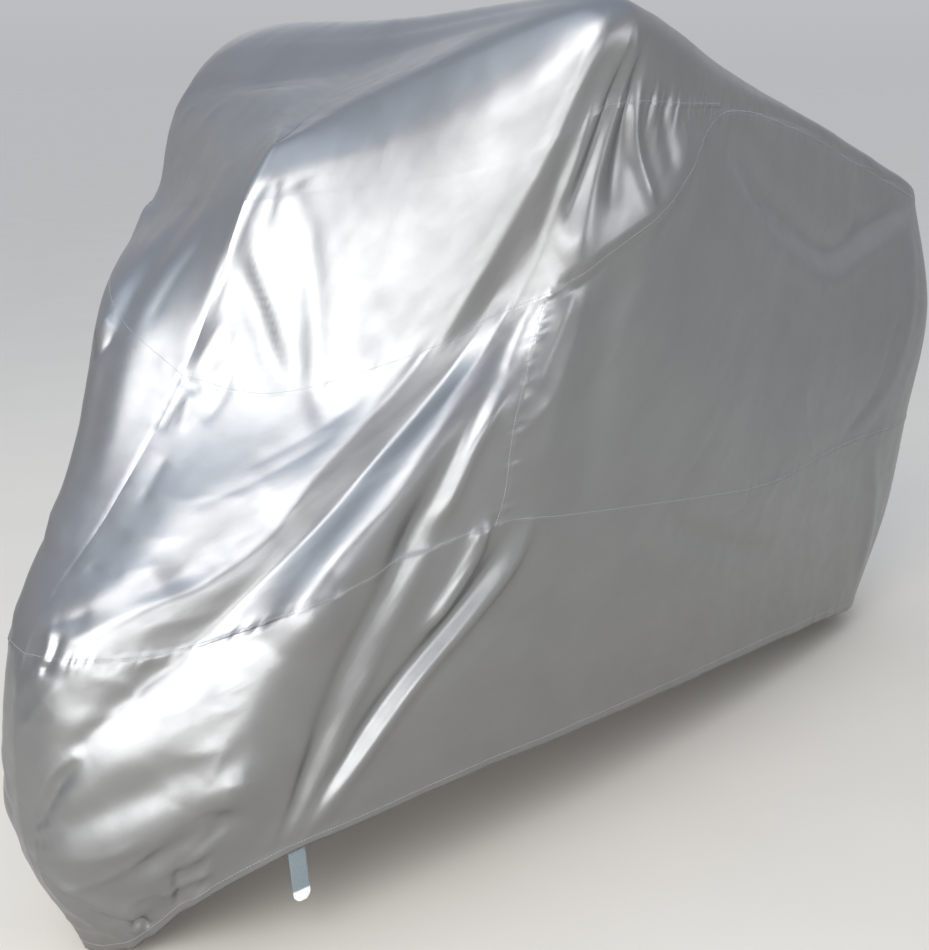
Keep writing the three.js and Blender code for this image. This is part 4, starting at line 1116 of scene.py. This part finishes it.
def along_line(points, normals):
    """Stitches along a line of points: their centres, directions and outward directions."""
    steps = np.linalg.norm(np.diff(points, axis=0), axis=1)
    lengths = np.concatenate([[0], np.cumsum(steps)])
    places = np.arange(STITCH_PITCH / 2, lengths[-1], STITCH_PITCH)
    centres = np.stack([np.interp(places, lengths, points[:, axis]) for axis in range(3)], axis=1)
    outs = np.stack([np.interp(places, lengths, normals[:, axis]) for axis in range(3)], axis=1)
    tangents = np.gradient(centres, axis=0)
    tangents /= np.linalg.norm(tangents, axis=1, keepdims=True)
    outs -= tangents * np.sum(outs * tangents, axis=1, keepdims=True)
    return centres, tangents, outs / np.linalg.norm(outs, axis=1, keepdims=True)


def level_line(side, offset, level, first, last, inset):
    """The points and outward directions of a line on the cloth at a height above a level."""
    columns = slice(column(first), column(last) + 1)
    seam = row(level)
    points = (side["points"] + side["normals"] * offset[..., None])[columns]
    rows = inset / (side["up"][columns, seam + 1] - side["up"][columns, seam])
    low = seam + np.floor(rows).astype(int)
    share = (rows - np.floor(rows))[:, None]
    at = np.arange(points.shape[0])
    line = points[at, low] * (1 - share) + points[at, low + 1] * share
    return line, side["normals"][columns][at, low]


def section_line(side, offset, u, low, high, inset):
    """The points and outward directions of a line on the cloth beside a section."""
    rows = slice(row(low), row(high) + 1)
    at = column(u) - max(1, round(inset / CELL_ALONG))
    points = side["points"] + side["normals"] * offset[..., None]
    return points[at, rows], side["normals"][at, rows]


def add_stitches(name, lines):
    meshes = [stitch_mesh(*along_line(points, normals)) for points, normals in lines]
    starts = np.cumsum([0] + [len(points) for points, _ in meshes[:-1]])
    points = np.concatenate([points for points, _ in meshes])
    triangles = np.concatenate([start + triangles for start, (_, triangles) in zip(starts, meshes)])
    piece = add_mesh(name, points, triangles, None, THREAD)
    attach(piece, "root")


def sew(side_name):
    """The stitches of one side: along the lower edges of its pieces, up the side seam and round the hem."""
    side = SIDES[side_name]
    roof = offset_of(side, SHAPES["top_panel"])
    wedge = offset_of(side, SHAPES["upper_front"])
    front = offset_of(side, SHAPES["front"])
    flank = offset_of(side, SHAPES["side"])
    hem = np.full(side["up"].shape, HEM_LIFT)
    add_stitches("roof_stitches_" + side_name, [
        level_line(side, roof, "yoke", LAPPED_YOKE, WEDGE_TIP, STITCH_INSET),
        level_line(side, roof, "breast", WEDGE_TIP, REAR, STITCH_INSET),
        level_line(side, wedge, "breast", FRONT, WEDGE_TIP, STITCH_INSET)])
    add_stitches("waist_stitches_" + side_name, [
        level_line(side, front, "waist", FRONT, SIDE_SEAM, STITCH_INSET),
        level_line(side, flank, "waist", SIDE_SEAM, REAR, STITCH_INSET),
        section_line(side, front, SIDE_SEAM, "waist", "breast", STITCH_INSET)])
    add_stitches("hem_stitches_" + side_name, [
        level_line(side, hem, "hem", FRONT, REAR, HEM_BAND - STITCH_INSET)])


for name_of_side in SIDES:
    sew(name_of_side)


def strap_middle(shares, downs):
    """The points of the strap's middle layer, by column and row, and the outward direction of each column."""
    side = SIDES["left"]
    root = surface(side, [STRAP_SECTION, STRAP_SECTION + PROBE], [0, PROBE])
    sections = STRAP_SECTION + shares * STRAP_WIDTH * PROBE / np.linalg.norm(root[1, 0] - root[0, 0])
    level = PROBE / np.linalg.norm(root[0, 1] - root[0, 0])
    normals = outward_directions(surface(side, sections, [0, PROBE]), side["outward"])[:, :1]
    points = surface(side, sections, level * np.maximum(0, STRAP_TUCKED - downs))
    depth = STRAP_DEPTH + STRAP_THICK / 2
    points = points + normals * (main_rise(points) - depth)[..., None]
    into_tip = np.maximum(0, 1 - (downs[-1] - downs) / STRAP_TIP)
    narrowing = 1 - (1 - STRAP_TIP_SHARE) * into_tip**2
    centres = points.mean(axis=0)
    points = centres + (points - centres) * narrowing[:, None]
    below = np.maximum(0, downs - STRAP_TUCKED)
    points[..., 0] += STRAP_LEAN * below / STRAP_HANGING
    points[..., 2] -= below
    return points, normals


def ring_quads(rows, ring):
    """Quads round a tube whose points come ring by ring, and across its two ends."""
    quads = []
    for step in range(rows):
        first = step * ring
        for k in range(ring):
            after = (k + 1) % ring
            quads.append((first + k, first + ring + k, first + ring + after, first + after))
    last = rows * ring
    for k in range(ring // 2 - 1):
        quads.append((k, k + 1, ring - 2 - k, ring - 1 - k))
        quads.append((last + ring - 1 - k, last + ring - 2 - k, last + k + 1, last + k))
    return np.array(quads)


def add_strap():
    """The webbing strap, sewn behind the left side's hem: a closed strip with rounded edges and fine ribs."""
    length = STRAP_TUCKED + STRAP_HANGING
    shares = np.linspace(-0.5, 0.5, STRAP_COLUMNS + 1)
    downs = np.linspace(0, length, STRAP_ROWS + 1)
    middle, normals = strap_middle(shares, downs)
    edge = 1 - np.abs(2 * shares) ** STRAP_EDGE_POWER
    ribs = STRAP_RIB * np.cos(2 * math.pi * shares * STRAP_WIDTH / STRAP_RIB_PITCH) * edge
    half = STRAP_THICK / 2 * (STRAP_EDGE_SHARE + (1 - STRAP_EDGE_SHARE) * edge) + ribs
    front = middle + normals * half[:, None, None]
    back = middle - normals * half[:, None, None]
    points = np.concatenate([front, back[::-1]]).transpose(1, 0, 2).reshape(-1, 3)
    across = np.concatenate([shares, shares[::-1]]) * STRAP_WIDTH
    lengths = np.stack(np.meshgrid(across, downs), -1).reshape(-1, 2)
    quads = ring_quads(STRAP_ROWS, 2 * len(shares))
    piece = add_mesh("strap_webbing", points, quads, lengths[quads], WEBBING)
    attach(piece, "root")
    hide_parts("strap")


add_strap()


def add_camera():
    heading = Vector((math.cos(CAMERA_YAW), math.sin(CAMERA_YAW), 0))
    ahead = heading * math.cos(CAMERA_PITCH) - Vector((0, 0, math.sin(CAMERA_PITCH)))
    right = ahead.cross(Vector((0, 0, 1))).normalized()
    data = bpy.data.cameras.new("camera")
    data.sensor_width = SENSOR
    data.lens = FOCAL_PIXELS / max(PHOTO_WIDTH, PHOTO_HEIGHT) * SENSOR
    camera = bpy.data.objects.new("camera", data)
    bpy.context.scene.collection.objects.link(camera)
    turn = Matrix((right, right.cross(ahead), -ahead)).transposed()
    camera.matrix_world = Matrix.Translation(CAMERA_PLACE) @ turn.to_4x4()
    bpy.context.scene.camera = camera


def add_floor():
    """A plain pale floor with a faint mottle."""
    material, tree, shader = principled("pale_floor")
    place = add_node(tree, "TexCoord").outputs["Object"]
    link(tree, tinted(tree, place, FLOOR_TINT), shader.inputs["Base Color"])
    shader.inputs["Roughness"].default_value = FLOOR_ROUGH
    corners = FLOOR_SIZE * np.array([(-1, -1, 0), (1, -1, 0), (1, 1, 0), (-1, 1, 0)], float)
    floor = add_mesh("floor", corners, np.array([[0, 1, 2, 3]]), None, material)
    floor.location.z = -FLOOR_GAP


def add_area_light(name, spec):
    """A soft light. Its energy gives it the table's radiance, which a narrower spread would raise."""
    width, height = spec.size
    azimuth = math.radians(spec.azimuth)
    elevation = math.radians(spec.elevation)
    level = math.cos(elevation)
    towards_light = Vector((-level * math.cos(azimuth), -level * math.sin(azimuth), math.sin(elevation)))
    half_spread = LIGHT_SPREAD / 2
    data = bpy.data.lights.new(name, "AREA")
    data.shape = "RECTANGLE"
    data.size = width
    data.size_y = height
    data.spread = LIGHT_SPREAD
    data.energy = spec.radiance * math.pi * width * height * (1 - half_spread / math.tan(half_spread))
    data.color = spec.colour
    light = bpy.data.objects.new(name, data)
    bpy.context.scene.collection.objects.link(light)
    light.location = Vector(spec.target) + spec.distance * towards_light
    light.rotation_euler = (-towards_light).to_track_quat("-Z", "Y").to_euler()
    light.visible_camera = False


def add_world():
    """An even studio sky, a little bluer overhead."""
    world = bpy.data.worlds.new("studio")
    bpy.context.scene.world = world
    world.use_nodes = True
    tree = world.node_tree
    ramp = tree.nodes.new("ShaderNodeValToRGB")
    for _ in SKY[2:]:
        ramp.color_ramp.elements.new(1)
    for element, (height, colour) in zip(ramp.color_ramp.elements, SKY):
        element.position = height
        element.color = (*colour, 1)
    split = tree.nodes.new("ShaderNodeSeparateXYZ")
    link(tree, tree.nodes.new("ShaderNodeTexCoord").outputs["Generated"], split.inputs["Vector"])
    link(tree, split.outputs["Z"], ramp.inputs["Fac"])
    link(tree, ramp.outputs["Color"], tree.nodes["Background"].inputs["Color"])


add_camera()
add_floor()
for light_name, light_spec in LIGHTS.items():
    add_area_light(light_name, light_spec)
add_world()
bpy.context.scene.view_settings.view_transform = "Standard"
